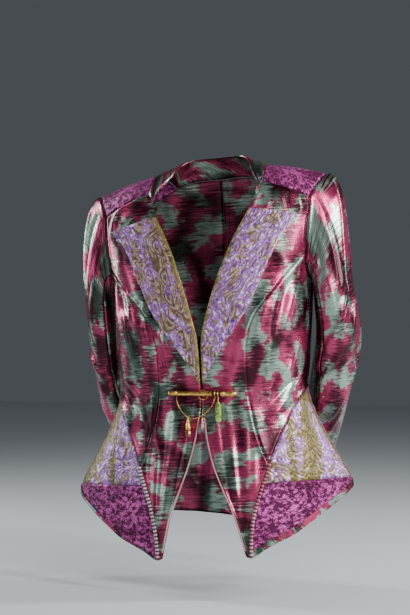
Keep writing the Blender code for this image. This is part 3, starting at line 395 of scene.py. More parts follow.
def even(chart, count):
    """Chart points at even distances over the body along a smooth line through the given ones."""
    share = np.linspace(0, 1, SEAM_PLACES)
    places = run(chart * (MEAN_REACH, 1))
    if len(chart) > 2:
        fine = smooth(share * places[-1], places, chart)
    else:
        fine = chart[0] + share[:, None] * (chart[1] - chart[0])
    points, _ = body(fine, 0)
    length = run(points)
    at = np.linspace(0, length[-1], count + 1)
    return np.stack([np.interp(at, length, fine[:, i]) for i in range(2)], -1)


def seam(line, steps=None):
    """Chart points (angle, height) spaced evenly along a seam, FINENESS to each of its steps."""
    face, usual, points = line
    points = np.asarray(points, float)
    chart = np.stack((angle_at(points[:, 0], points[:, 1], face), points[:, 1]), -1)
    return even(chart, (steps or usual) * FINENESS)


def joined(*lines):
    """Lines laid end to end, with each shared end point kept once."""
    return np.concatenate([lines[0]] + [line[1:] for line in lines[1:]])


def patch(top, bottom, left, right):
    """A grid of chart points that fills four edge lines (a bilinearly blended patch)."""
    across = np.linspace(0, 1, len(top))[None, :, None]
    down = np.linspace(0, 1, len(left))[:, None, None]
    corners = ((1 - across) * (1 - down) * top[0] + across * (1 - down) * top[-1]
               + (1 - across) * down * bottom[0] + across * down * bottom[-1])
    return ((1 - down) * top + down * bottom + (1 - across) * left[:, None]
            + across * right[:, None] - corners)


def edged(grid):
    """The same grid with two more lines just inside each edge, where a seam needs them."""
    for _ in range(2):
        first = [grid[0] + share * (grid[1] - grid[0]) for share in EDGE_LINES]
        last = [grid[-1] + share * (grid[-2] - grid[-1]) for share in EDGE_LINES[::-1]]
        grid = np.concatenate((grid[:1], first, grid[1:-1], last, grid[-1:])).swapaxes(0, 1)
    return grid


def edged_both(points, out):
    """A grid and its outward directions, both with the added edge lines."""
    return edged(points), unit(edged(out))


def edge_distance(points):
    """How far each point lies from the nearest edge of its grid, measured along the grid lines."""
    gone = run(points), run(points, 1)
    return np.minimum(*(np.minimum(far, far.take([-1], axis=i) - far) for i, far in enumerate(gone)))


def seam_relief(points):
    """Height of the groove at a sewn edge and of the roll beside it: exp(-((far - place) / reach)^2)."""
    far = edge_distance(points)
    return sum(rise * np.exp(-((far - place) / reach) ** 2)
               for rise, reach, place in (SEAM_GROOVE, SEAM_ROLL))


def fixed(mesh, finish, node):
    """Make the mesh a piece of the jacket in place of a CAD node."""
    mesh.shade_smooth()
    mesh.materials.append(finish.material)
    made = bpy.data.objects.new(mesh.name, mesh)
    bpy.context.collection.objects.link(made)
    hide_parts(node)
    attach(made, "jacket")
    return made


def cloth(name, outer, out, chart_uv, thickness, side, finish, node, seamed=True):
    """A closed shell of cloth between an outer grid and the same grid moved in by its thickness.

    The uv map named cloth holds metres across and down the piece; on the edge it goes on unbroken.
    """
    if seamed:
        outer = outer + seam_relief(outer)[..., None] * out
    rows, columns = outer.shape[:2]
    points = np.concatenate((outer.reshape(-1, 3), (outer - thickness * out).reshape(-1, 3)))
    points = pose(points, side) * MM
    index = np.arange(rows * columns).reshape(rows, columns)
    inner = index + rows * columns
    rim = np.concatenate((index[0, :-1], index[:-1, -1], index[-1, :0:-1], index[:0:-1, 0]))
    after = np.roll(rim, -1)
    faces = np.concatenate((
        np.stack((index[:-1, :-1], index[:-1, 1:], index[1:, 1:], index[1:, :-1]), -1).reshape(-1, 4),
        np.stack((inner[:-1, :-1], inner[1:, :-1], inner[1:, 1:], inner[:-1, 1:]), -1).reshape(-1, 4),
        np.stack((after, rim, rim + rows * columns, after + rows * columns), -1)))
    a, b, c = (points[faces[:, i]] for i in (0, 1, 3))
    normals = np.cross(b - a, c - a)[: (rows - 1) * (columns - 1)]
    facing = out[:-1, :-1].reshape(-1, 3) * (side, 1, 1)
    if (normals * facing).sum() < 0:
        faces = faces[:, ::-1]
    mesh = bpy.data.meshes.new(name)
    mesh.vertices.add(len(points))
    mesh.vertices.foreach_set("co", points.ravel())
    mesh.loops.add(faces.size)
    mesh.loops.foreach_set("vertex_index", faces.ravel())
    mesh.polygons.add(len(faces))
    mesh.polygons.foreach_set("loop_start", np.arange(0, faces.size, 4))
    mesh.update(calc_edges=True)
    layer = mesh.uv_layers.new(name="cloth")
    layer.uv.foreach_set("vector", (chart_uv.reshape(-1, 2)[faces.ravel() % (rows * columns)] * MM).ravel())
    made = fixed(mesh, finish, node)
    mesh.set_sharp_from_angle(angle=math.radians(RIM_ANGLE))
    return made


def sewn_to(made, points, *neighbours):
    first, second = np.diff(points, axis=0)[:, :-1], np.diff(points, axis=1)[:-1]
    width, length = (float(run(points, axis).max()) * MM for axis in (1, 0))


def crease(points, side, rows):
    """Height of the fine creases, and of the knot's rings cos(r / size) exp(-(r / reach)^2)."""
    x, z = points[..., 0], points[..., 2]
    rise = ridges(rows.get(side, ()), x, z, tapered=True)
    if side == RIGHT and rows is CREASES:
        knot_x, knot_z, flatness, ring, reach, height = KNOT
        far = np.hypot(x - knot_x, (z - knot_z) * flatness)
        rise = rise - height * np.cos(far / ring) * np.exp(-(far / reach) ** 2)
    return rise


def body_piece(name, chart, side, thickness, finish, neighbours, creases={}, crumple=None):
    """A piece of the body: the worn form with its creases, which die out at the sewn edges."""
    chart = edged(chart)
    points, out = body(chart, side)
    rise = crease(points, side, creases) * (1 - np.exp(-(edge_distance(points) / CREASE_FADE) ** 2))
    if crumple is not None:
        rise = rise + crumple(points)
    uv = np.stack((chart[..., 0] * MEAN_REACH * side, points[..., 2]), -1)
    grid = drawn_back(points) + rise[..., None] * out
    made = cloth(f"{name}_cloth_{SIDE_NAMES[side]}", grid, out, uv, thickness, side, finish,
                 f"{name}_{SIDE_NAMES[side]}")
    sewn_to(made, points, *neighbours)


def drawn_back(points):
    """The grid with its edges drawn back a little, to leave a clearance at the seams."""
    grid = points.copy()
    grid[0] += SEAM_EASE * unit(points[1] - points[0])
    grid[-1] += SEAM_EASE * unit(points[-2] - points[-1])
    grid[:, 0] += SEAM_EASE * unit(points[:, 1] - points[:, 0])
    grid[:, -1] += SEAM_EASE * unit(points[:, -2] - points[:, -1])
    return grid


def satin_finish(name, shift, scale=1.0, edge=(0.500, 0.610)):
    """Shot satin jacquard: brushed blotches of raspberry and grey-green, their edges combed sideways.

    green = step(cloud + combing); raspberry and green each run, in random patches, from a dark end painted
    as the cloth in shade to a light end painted as the cloth lit.
    """
    made = Finish(name, Metallic=0.72, Specular_IOR_Level=0.7)
    at = made.node("UVMap", {"uv_map": "cloth"})
    wide = made.noise(at, (31 * scale, 24 * scale, 1), 0.0, 0.0, shift)
    small = made.noise(at, (72 * scale, 52 * scale, 1), 1.0, 0.6, (shift[1], shift[0], 0))
    combing = made.noise(at, (44, 430, 1), 2.0, 0.5, shift)
    fine = made.noise(at, (170, 1300, 1), 1.0, 0.0, shift)
    blotch = wide + (small - 0.5) * 0.66 + (combing - 0.5) * 0.34 + (fine - 0.5) * 0.18
    green = made.step(blotch, *edge)
    # Painted shade and light: the dark end of each colour copies the cloth in shade, the light end the cloth
    # lit, placed in random patches.
    shade_and_light_tone = made.noise(at, (26, 12, 1), 1.5, 0.4, (shift[1], shift[0], 0)) + (combing - 0.5) * 0.55
    raspberry = made.mix(made.step(shade_and_light_tone, 0.38, 0.64), (0.046, 0.003, 0.013), (0.440, 0.046, 0.135))
    sage = made.mix(made.step(shade_and_light_tone, 0.36, 0.64), (0.034, 0.052, 0.040), (0.330, 0.450, 0.375))
    slub = made.noise(at, (60, 900, 1), 2.0, 0.2, shift)
    made.wear(Base_Color=made.mix(green, raspberry, sage), Roughness=0.25 + (slub - 0.5) * 0.16)
    twill = made.noise(at, (700, 2600, 1), 1.0, 0.0)
    made.bump(slub * 0.7 + twill * 0.3, 0.0005, 0.5)
    return made


satin = satin_finish("satin_jacquard_cloth", (3.1, 1.7, 0))


def front_chart():
    """Chart of a front, from the yoke seam to the point: fold and front edge first, seams last."""
    inner = joined(seam(NECK_FRONT), seam(FOLD), seam(FRONT_EDGE))
    outer = joined(seam(ARMHOLE_FRONT), seam(PRINCESS), seam(GORE_LOW), seam(HIP_FRONT))
    tip = np.linspace(inner[-1], outer[-1], YOKE_FRONT[1] * FINENESS + 1)
    return patch(seam(YOKE_FRONT), tip, inner, outer)


for side, word in SIDE_NAMES.items():
    body_piece("front", front_chart(), side, SATIN_THICKNESS, satin,
               (f"yoke_{word}", f"side_front_{word}", f"gore_{word}"), CREASES)


# Side fronts, in the same satin.
# Each is sewn to the front down the princess seam and reaches from the armhole to the hip gore.
ARMHOLE_LOW = ("front", 6, ((172, -159), (172, -180), (175, -197), (400, -205)))
SIDE_SEAM = ("front", 18, ((400, -205), (400, -384)))
GORE_HIGH = ("front", 6, ((113, -510), (120, -489), (140, -441), (157, -404), (400, -384)))
for side, word in SIDE_NAMES.items():
    chart = patch(seam(ARMHOLE_LOW), seam(GORE_HIGH), seam(PRINCESS), seam(SIDE_SEAM))
    body_piece("side_front", chart, side, SATIN_THICKNESS, satin,
               (f"front_{word}", f"back_{word}", f"gore_{word}"), CREASES)


# Backs, in the same satin, sewn down the middle of the back.
# Each runs from the neck and the yoke to the hem. The back isn't seen, so its folds are like those
# of the front.
NECK_BACK = ("back", 4, ((0, -12), (45, -12), (80, -20)))
YOKE_BACK = ("back", 6, ((80, -20), (182, -78)))
ARMHOLE_BACK = ("back", 4, ((182, -78), (180, -105), (176, -135), (173, -160)))
ARMHOLE_LOW_BACK = ("back", 6, ((173, -160), (172, -181), (175, -197), (400, -205)))
SIDE_BACK = ("back", 9, ((400, -205), (400, -384)))
GORE_BACK = ("back", 8, ((400, -384), (157, -404), (140, -441), (120, -489), (103, -541)))
HIP_BACK = ("back", 3, ((103, -541), (100, -604)))
BACK_ROWS, BACK_HEM = 30, -618.0
# Creases of the backs, as those of the fronts
BACK_CREASES = {
    LEFT: ((30, -360, 110, -384, 6, 2.0), (24, -384, 120, -402, 5, -1.6), (150, -190, 110, -300, 8, 2.4),
        (132, -210, 92, -320, 7, -1.8), (20, -440, 32, -600, 8, -2.0), (72, -440, 84, -610, 9, 2.4),
        (160, -320, 118, -380, 6, 1.8)),
    RIGHT: ((34, -352, 116, -372, 6, 1.9), (22, -378, 112, -398, 5, -1.5), (146, -196, 104, -310, 8, 2.2),
        (126, -220, 90, -330, 7, -2.0), (26, -450, 36, -600, 8, -1.8), (80, -430, 88, -612, 9, 2.6),
        (158, -330, 122, -376, 6, 1.6)),
}
for side, word in SIDE_NAMES.items():
    top = joined(seam(NECK_BACK), seam(YOKE_BACK))
    outer_edge = joined(seam(ARMHOLE_BACK), seam(ARMHOLE_LOW_BACK), seam(SIDE_BACK), seam(GORE_BACK),
                        seam(HIP_BACK))
    middle = even(np.array(((math.pi, top[0, 1]), (math.pi, BACK_HEM))), BACK_ROWS * FINENESS)
    hem = np.linspace(middle[-1], outer_edge[-1], len(top))
    outer_edge = outer_edge[np.linspace(0, len(outer_edge) - 1, len(middle)).round().astype(int)]
    body_piece("back", patch(top, hem, middle, outer_edge), side, SATIN_THICKNESS, satin,
               (f"yoke_{word}", f"side_front_{word}", f"gore_{word}"), BACK_CREASES)


# Yokes, in devore velvet.
# Each yoke lies over the padded shoulder from front to back. Sprigs of plum pile stand on an orchid
# satin ground, and its edges are sewn into the fronts, the backs, the collar and the sleeve heads.
VELVET_THICKNESS = 1.8
# Neck edge and tip of the yoke: place from the front seam (-1) to the back (1), distance from the middle
YOKE_NECK = ((-1, 100), (-0.5, 99), (0, 96), (0.5, 90), (1, 80))
YOKE_TIP = ((-1, 178), (-0.5, 193), (0, 201), (0.5, 195), (1, 182))
YOKE_HALF_ROWS = 4


def yoke_chart():
    """Two charts over the shoulder, from the ridge down to the front seam and to the back seam.

    Down each line the height is shoulder - SHOULDER_ROUND (1 - cos(share full)), a round of the shoulder.
    """
    halves = {}
    for face, sign, line in (("front", -1, YOKE_FRONT), ("back", 1, YOKE_BACK)):
        edge = seam(line)
        edge_x = np.array([body(point[None], 0)[0][0, 0] for point in edge])
        drop = (shoulder_line(edge_x) - edge[:, 1]) / SHOULDER_ROUND
        full = np.arccos(np.clip(1 - drop, -1, 1))
        place = np.linspace(0, 1, YOKE_HALF_ROWS * FINENESS + 1)
        neck = smooth(sign * place, *table(YOKE_NECK))
        tip = smooth(sign * place, *table(YOKE_TIP))
        share = (edge_x - edge_x[0]) / (edge_x[-1] - edge_x[0])
        x = neck[:, None] + share * (tip - neck)[:, None]
        z = shoulder_line(x) - SHOULDER_ROUND * (1 - np.cos(place[:, None] * full))
        halves[face] = np.stack((angle_at(x, z, face), z), -1)
        halves[face][-1] = edge
    return halves["front"], halves["back"]


def velvet_finish(name, shift):
    """Devore velvet: plum sprigs of pile on an orchid satin ground.

    A cell pattern places one sprig in each cell. Its petals are r < 0.34 (0.35 + 0.65 |cos(2.5 angle)|),
    thin stems follow the middle line of a cloud, and small leaves are the high places of a finer one.
    """
    made = Finish(name, Metallic=0.30, Specular_IOR_Level=0.3, Sheen_Weight=0.05, Sheen_Roughness=0.3,
                  Sheen_Tint=(0.95, 0.50, 0.85))
    at = made.node("UVMap", {"uv_map": "cloth"})
    warp = made.noise(at, (60, 60, 1), 2.0, 0.0, shift)
    x, y = made.from_cell(at, (88, 88, 1), shift, 0.75)
    radius = (x * x + y * y).math("SQRT")
    angle = y.math("ARCTAN2", x)
    petal = abs((angle * 2.5 + warp * 9.0).math("COSINE"))
    flower = made.step(0.34 * (0.35 + 0.65 * petal) - radius + (warp - 0.5) * 0.22, -0.04, 0.05)
    stem_cloud = made.noise(at, (70, 76, 1), 1.0, 0.8, (shift[1], shift[0], 0))
    stem = 1 - made.step(abs(stem_cloud - 0.5), 0.014, 0.044)
    leaf_cloud = made.noise(at, (200, 150, 1), 2.0, 1.0, shift)
    leaf = made.step(leaf_cloud, 0.530, 0.615)
    pile = flower.math("MAXIMUM", stem).math("MAXIMUM", leaf)
    shade = made.noise(at, (22, 22, 1), 2.0, 0.0, shift)
    glint = made.noise(at, (240, 240, 1), 2.0, 0.0, shift)
    ground = made.mix(made.step(shade * 0.5 + glint * 0.5, 0.36, 0.62),
                      (0.180, 0.008, 0.100), (0.620, 0.105, 0.410))
    plum = made.mix(shade, (0.030, 0.001, 0.018), (0.085, 0.003, 0.045))
    made.wear(Base_Color=made.mix(pile * 0.92, ground, plum), Roughness=0.42 + pile * 0.38)
    nap = made.noise(at, (1300, 1300, 1), 2.0)
    made.bump(pile * 0.55 + nap * 0.2 + glint * 0.25, 0.0009, 0.8)
    return made


velvet = velvet_finish("devore_velvet_cloth", (0.4, 2.3, 0))
for side, word in SIDE_NAMES.items():
    halves = [body(chart, side) for chart in yoke_chart()]
    points, out = edged_both(*(np.concatenate((front[::-1], back[1:])) for front, back in zip(*halves)))
    across = np.linalg.norm(points - points[:, :1], axis=-1)
    made = cloth(f"yoke_velvet_{word}", drawn_back(points), out, np.stack((across, run(points)), -1),
                 VELVET_THICKNESS, side, velvet, f"yoke_{word}")
    sewn_to(made, points, f"front_{word}", f"back_{word}", "collar")


# Hip gores, in stiff brocade.
# Each gore is a wide triangle from the side of the waist out to the hip corner, interlined so that
# it stands away from the body. Olive-gold leaf stripes run up it between lilac scrolls.
BROCADE_THICKNESS = 1.9
HIP_STEPS = 14
GORE_APEX = 0.12
# Crinkles of the gores: depth, reach
GORE_CRINKLE = (0.45, 5.0)
# How far the olive spreads over the lilac, from 0 as it falls
GORE_GILDING = -0.06
# Leaf stripes: distance round the body of the middle 500 mm down, its slope, half width, in metres
GORE_STRIPES = {
    LEFT: ((0.156, 0.37, 0.0165), (0.125, 0.16, 0.0055), (0.225, 0.0, 0.010), (0.292, -0.4, 0.010),
           (0.335, -0.2, 0.005)),
    RIGHT: ((-0.143, -0.36, 0.0050), (-0.208, 0.0, 0.036), (-0.292, 0.4, 0.010), (-0.338, 0.2, 0.005)),
}


def gore_bottom():
    """Lower seam of the gore, from its front corner round the side to its back corner."""
    ends = seam(GORE_LOW)[-1], seam(GORE_BACK)[-1]
    return np.linspace(*ends, HIP_STEPS * FINENESS + 1)


def crinkle(points, depth, reach):
    """Uneven crinkles of stiff cloth: two crossed sine waves multiplied, both bent by slower ones."""
    x, y, z = (points[..., i] / reach for i in range(3))
    bend = np.sin(0.61 * x + 1.3 * np.sin(0.37 * z)) + np.sin(0.53 * z + 0.47 * y)
    return depth * (np.sin(1.1 * z + 2.1 * bend) * np.sin(0.9 * x + 0.6 * y + 1.4 * bend))


def brocade_finish(name, shift, stripes=(), band=None, gilding=0.0):
    """Crinkled brocade: lilac ground with painted shade and glints on its crinkles, olive-gold scroll lines
    and, where named, stripes or a band.

    Each cell holds a bent teardrop, s = hypot(1.5 (x + 1.4 y^2), 0.95 y); its rings are the lines where
    sin(30 s) is high, and between the drops the lines follow the contours of a warped cloud.
    A stripe is |u - middle - slope (v + 0.5)| < half width, with leaf veins; gilding spreads the olive.
    """
    made = Finish(name, Metallic=0.35, Specular_IOR_Level=0.45)
    at = made.node("UVMap", {"uv_map": "cloth"})
    warp = made.noise(at, (85, 85, 1), 2.0, 0.0, shift)
    x, y = made.from_cell(at, (27, 19, 1), shift, 0.8)
    bent = (x + y * y * 1.4) * 1.5
    drop = (bent * bent + y * y * 0.9).math("SQRT") + (warp - 0.5) * 0.10
    crinkle_and_glints = made.noise(at, (170, 130, 1), 2.0, 1.2, shift)
    swirl_cloud = made.noise(at, (19, 15, 1), 0.0, 2.0, (shift[1], shift[0], 0))
    swirl = made.step((swirl_cloud * 50.0 + warp * 3.0).math("SINE"), -0.1, 0.5)
    rings = made.step((drop * 30.0).math("SINE"), -0.1, 0.5)
    inside = 1 - made.step(drop, 0.40, 0.44)
    line = swirl + inside * (rings - swirl)
    shade = made.noise(at, (48, 36, 1), 1.0, 0.6, shift)
    # Painted shade and glints: the lilac goes dark violet in the crinkle hollows and near white on the
    # crinkle tops; the olive also runs dark to light with the crinkles.
    lilac = made.mix(made.step(crinkle_and_glints, 0.34, 0.47), (0.100, 0.016, 0.300), (0.440, 0.165, 0.640))
    lilac = made.mix(made.step(crinkle_and_glints, 0.54, 0.62), lilac, (0.900, 0.680, 1.000))
    olive = made.mix(made.step(crinkle_and_glints, 0.36, 0.60), (0.200, 0.135, 0.060), (0.470, 0.345, 0.160))
    worn = made.step(shade + (crinkle_and_glints - 0.5) * 0.25 + gilding, 0.45, 0.58)
    colour = made.mix(worn * 0.85, lilac, olive)
    colour = made.mix(line * 0.82, colour, made.mix(worn, (0.205, 0.140, 0.085), (0.085, 0.058, 0.018)))
    u, v = made.parts(at)
    for middle, slope, half in stripes:
        off = abs(u - middle - (v + 0.5) * slope) + (warp - 0.5) * 0.016
        lobes = 0.72 + abs((v * 105.0).math("SINE")) * 0.40
        leafy = 1 - made.step(off / lobes, half * 0.85, half * 1.15)
        vein = made.step(((v + off * 1.3) * 700).math("SINE") + (crinkle_and_glints - 0.5) * 4.0, -0.5, 0.6)
        rib = 1 - made.step(off, half * 0.10, half * 0.45)
        leaf = made.mix(rib * 0.7, made.mix(vein, (0.062, 0.048, 0.003), (0.260, 0.205, 0.026)),
                        (0.085, 0.068, 0.004))
        colour = made.mix(leafy * 0.92, colour, leaf)
    if band is not None:
        edge = 1 - made.step(u + (shade - 0.5) * 0.026, band - 0.0012, band + 0.0010)
        thread = made.step(((u + v * 0.4) * 2600).math("SINE") * 0.5 + (crinkle_and_glints - 0.5) * 3.0, -0.7, 0.7)
        gold = made.mix(thread, (0.120, 0.085, 0.010), (0.400, 0.310, 0.070))
        colour = made.mix(edge * 0.9, colour, gold)
    made.wear(Base_Color=colour, Roughness=0.30 + line * 0.14)
    made.bump(crinkle_and_glints * 0.75 + line * 0.25, 0.0022, 1.0)
    return made


for side, word in SIDE_NAMES.items():
    gore_front = joined(seam(GORE_HIGH)[::-1], seam(GORE_LOW))
    gore_back = seam(GORE_BACK)
    gore_front[0] += GORE_APEX / FINENESS * (gore_front[FINENESS] - gore_front[0])
    gore_back[0] += GORE_APEX / FINENESS * (gore_back[FINENESS] - gore_back[0])
    top = np.linspace(gore_front[0], gore_back[0], HIP_STEPS * FINENESS + 1)
    chart = patch(top, gore_bottom(), gore_front, gore_back)
    brocade = brocade_finish(f"gore_brocade_{word}", (1.3 + side, 0.7, 0), GORE_STRIPES[side],
                             gilding=GORE_GILDING)
    body_piece("gore", chart, side, BROCADE_THICKNESS, brocade,
               (f"side_front_{word}", f"back_{word}", f"hip_panel_{word}"),
               crumple=lambda points: crinkle(points, *GORE_CRINKLE))


# Lower hip panels, in the same velvet.
# Each is sewn under the gore and falls deep in front, down to the point, and shallow at the side.
# Its hem is cut in one long curve, and the binding covers its last rows.
# Hem of the velvet: degrees round the body, height
VELVET_HEM = ((27.6, -667), (33.5, -652), (38.5, -643), (46, -630), (53, -613), (62, -594), (72, -575),
              (82, -562), (90, -556), (104, -566), (125, -585), (149.8, -604))
BINDING_START = 0.3
# Width of the hem binding by share of the way round, for each half
HEM_BINDING = {LEFT: ((0, 13), (0.5, 12), (1, 10)), RIGHT: ((0, 3), (0.35, 8), (0.6, 13), (1, 11))}


def hip_chart(side):
    """Chart of the velvet hip panel, whose last FINENESS rows span the width of the hem binding."""
    front = seam(HIP_FRONT)
    angles = np.linspace(front[-1, 0], seam(HIP_BACK)[-1, 0], HIP_STEPS * FINENESS + 1)
    degrees, heights = table(VELVET_HEM)
    hem = np.stack((angles, smooth(np.degrees(angles), degrees, heights)), -1)
    hem[0] = front[-1]
    back = seam(HIP_BACK, HIP_FRONT[1])
    chart = patch(gore_bottom(), hem, front, back)
    drop = chart[0, :, 1] - chart[-1, :, 1]
    width = smooth(np.linspace(0, 1, chart.shape[1]), *table(HEM_BINDING[side]))
    even_down = np.linspace(0, 1, len(front))
    for column, cut in enumerate(1 - width / drop):
        down = np.concatenate((np.linspace(0, cut, len(front) - FINENESS),
                               np.linspace(cut, 1, FINENESS + 1)[1:]))
        chart[:, column] = np.stack([np.interp(down, even_down, part) for part in chart[:, column].T], -1)
    return chart


for side, word in SIDE_NAMES.items():
    body_piece("hip_panel", hip_chart(side), side, VELVET_THICKNESS, velvet,
               (f"gore_{word}", f"front_{word}", f"back_{word}"))


# Hem bindings, in the main satin cut across the grain.
# Each is folded over the hem of the velvet panel; the right one narrows towards the point.
BINDING_THICKNESS = 1.3
SEAT = 0.35
bias_satin = satin_finish("satin_jacquard_bias", (7.7, 4.2, 0), 1.9, (0.470, 0.530))
for side, word in SIDE_NAMES.items():
    points, out = edged_both(*(part[-FINENESS - 1:] for part in body(hip_chart(side), side)))
    points[:, 0] += BINDING_START * (points[:, FINENESS] - points[:, 0])
    round_mm = run(points, 1)
    down_mm = np.linalg.norm(points - points[:1], axis=-1)
    # The cloth lies across its grain and is drawn out round the hem
    slant = np.stack(((round_mm * 0.8 + down_mm) * 0.45, down_mm * 1.2 - round_mm * 1.5), -1)
    under = points + SEAT * out
    made = cloth(f"hem_binding_satin_{word}", under + BINDING_THICKNESS * out, out, slant,
                 BINDING_THICKNESS, side, bias_satin, f"hem_binding_{word}", seamed=False)
    sewn_to(made, points, f"hip_panel_{word}")


# Ribbed piping at the hips.
# A cord whipped with thread covers the seam between the velvet and the front, from the gore down to
# the point. Its rungs are painted lit, and the near black gaps between them are painted shade.
HIP_PIPING_HALF, HIP_PIPING_HEIGHT = 3.0, 3.2
PIPING_FOOT = 0.4
RIB_PITCH, RIB_SWELL = 6.2, 0.10
PIPING_ROUND = 12
# Steps down the hip seam for the cord, and how many of the last are left free at the point
HIP_CORD_STEPS, HIP_CORD_FREE = 42, 3


def corded_finish(name, light, dark, pitch, turn=0.0):
    """Whipped cord: lit rungs with the gaps between them painted dark as shade, sin(2 pi v / pitch), a
    little uneven.
    """
    made = Finish(name, Metallic=0.2, Sheen_Weight=0.2)
    at = made.node("UVMap", {"uv_map": "cloth"})
    u, v = made.parts(at)
    uneven = made.noise(at, (200, 60, 1), 2.0)
    wave = ((v + u * turn) * (2 * math.pi / pitch)).math("SINE")
    rung = made.step(wave + (uneven - 0.5) * 0.8, -0.5, 0.35)
    tint = made.step(made.noise(at, (9, 9, 1), 1.0), 0.46, 0.56)
    made.wear(Base_Color=made.mix(rung, dark, made.mix(tint, *light)), Roughness=0.36 + uneven * 0.15)
    made.bump(rung * 0.7 + made.noise(at, (1500, 400, 1), 1.0) * 0.3, 0.0006, 0.8)
    return made


def piping(name, middle, beside, outward, half_width, height, side, finish, node, ribs, pitch):
    """A half-round cord laid along a line: a half circle carried down it, swelling at each rib."""
    gone = run(middle)
    swell = (1 + ribs * np.sin(2 * math.pi * gone / pitch))[:, None, None]
    turns = np.linspace(0, math.pi, PIPING_ROUND + 1)[None, :, None]
    aside, outward = beside[:, None] * np.cos(turns) * half_width * swell, outward[:, None]
    rise = PIPING_FOOT + np.sin(turns) * height * swell
    uv = np.stack(np.broadcast_arrays(turns[..., 0] * half_width, gone[:, None]), -1)
    outer = middle[:, None] + aside + outward * SEAT + outward * rise
    out = np.broadcast_to(outward, outer.shape)
    cloth(name, outer, out, uv, rise, side, finish, node, seamed=False)


HIP_CORD_LIGHTS = {LEFT: ((0.50, 0.09, 0.16), (0.62, 0.30, 0.34)),
                   RIGHT: ((0.42, 0.50, 0.43), (0.52, 0.34, 0.36))}
for side, word in SIDE_NAMES.items():
    line = joined(seam(GORE_LOW, HIP_CORD_STEPS // 7), seam(HIP_FRONT, HIP_CORD_STEPS))[:-HIP_CORD_FREE]
    points, out = body(line, side)
    beside = unit(np.cross(out, np.gradient(points, axis=0)))
    # The near black gap colour is painted shade between the rungs.
    hip_cord = corded_finish(f"whipped_hip_cord_{word}", HIP_CORD_LIGHTS[side], (0.05, 0.006, 0.014),
                             RIB_PITCH * MM)
    piping(f"hip_cord_{word}", points, beside, out, HIP_PIPING_HALF, HIP_PIPING_HEIGHT, side, hip_cord,
           f"hip_piping_{word}", RIB_SWELL, RIB_PITCH)


# Edge pipings.
# A narrow rose satin cord is sewn along the front edge below the clasp, down to the point.
EDGE_PIPING_HALF, EDGE_PIPING_HEIGHT = 1.3, 1.6
EDGE_PIPING_START = 3
TWIST_PITCH, TWIST_SWELL = 1.9, 0.05
# Its pale pink rungs are painted highlights on the twist; the raspberry between them is the cord's own
# colour.
rose_cord = corded_finish("rose_edge_cord", ((0.80, 0.36, 0.42), (0.86, 0.56, 0.54)), (0.42, 0.10, 0.15),
                          TWIST_PITCH * MM, 1.0)
for side, word in SIDE_NAMES.items():
    first = (NECK_FRONT[1] + FOLD[1] + EDGE_PIPING_START) * FINENESS
    chart = front_chart()
    points, out = (part[first:-FINENESS // 2] for part in body(chart, side))
    beside = unit(points[:, 1] - points[:, 0])
    middle = points[:, 0] + (SEAM_EASE + EDGE_PIPING_HALF) * beside
    piping(f"edge_cord_{word}", middle, beside, out[:, 0], EDGE_PIPING_HALF, EDGE_PIPING_HEIGHT, side,
           rose_cord, f"edge_piping_{word}", TWIST_SWELL, TWIST_PITCH)


# Lapels, faced in brocade.
# Each lapel is folded back over the front along the fold and stands off it towards its tip. A narrow
# gold edge follows the fold, wider on the right lapel.
LAPEL_EDGE = ("front", 13, ((159, -97), (137, -124), (118, -162), (100, -205), (82, -245), (65, -271),
                            (45, -298), (25, -330), (12, -352), (5, -370)))
LAPEL_TOP = ("front", 5, ((81, -79), (159, -97)))
LAPEL_FOLD = ("front", 13, ((81, -79), *FOLD[2][1:-1], (2, -370)))
# Lapel height over the front: share of the way from fold to edge, at the top, at the bottom
LAPEL_LIFT = ((0, 0.6, 0.6), (0.2, 3.6, 1.2), (0.5, 3.0, 1.0), (0.8, 4.0, 0.9), (1, 5.6, 0.8))
LAPEL_CRINKLE = (0.4, 4.2)
# The facing is thinner than its solid, and rounded off at its rim by a depth within a reach
LAPEL_TRIM, LAPEL_ROUNDING = 0.4, (0.8, 1.1)
GOLD_BAND = {LEFT: 0.004, RIGHT: 0.006}
GILDING = {LEFT: -0.07, RIGHT: 0.03}
for side, word in SIDE_NAMES.items():
    fold, edge, top = seam(LAPEL_FOLD), seam(LAPEL_EDGE), seam(LAPEL_TOP)
    chart = edged(patch(top, np.linspace(fold[-1], edge[-1], len(top)), fold, edge))
    points, out = body(chart, side)
    places = np.meshgrid(*(np.linspace(0, 1, len(line)) for line in (top, fold)))
    share, down = np.moveaxis(edged(np.stack(places, -1)), -1, 0)
    lift = smooth(share, *table(LAPEL_LIFT))
    height = lift[..., 0] * (1 - down) + lift[..., 1] * down
    soften = -LAPEL_ROUNDING[0] * np.exp(-(edge_distance(points) / LAPEL_ROUNDING[1]) ** 2)
    inner = points + out * (height + np.maximum(crease(points, side, CREASES), 0))[..., None]
    outer = inner + out * (BROCADE_THICKNESS + crinkle(points, *LAPEL_CRINKLE) + soften)[..., None]
    lapel_brocade = brocade_finish(f"lapel_brocade_{word}", (4.1 * side, 2.9, 0), band=GOLD_BAND[side],
                                   gilding=GILDING[side])
    uv = np.stack((run(points, 1), points[..., 2]), -1)
    made = cloth(f"lapel_facing_{word}", outer, out, uv, BROCADE_THICKNESS - LAPEL_TRIM, side,
                 lapel_brocade, f"lapel_{word}", seamed=False)
    sewn_to(made, points, f"front_{word}")


# Collar, in the main satin.
# One piece stands from the neckline, leans inwards and ends in front above the lapels.
# The collar from its front end to the back: share of the way, share of the lean inwards, height
COLLAR = ((0, 0.04, -52), (0.1, 0.25, -37), (0.22, 0.55, -16), (0.36, 0.85, 4), (0.5, 1, 17),
          (0.65, 1, 24), (0.8, 1, 26), (1, 1, 26))
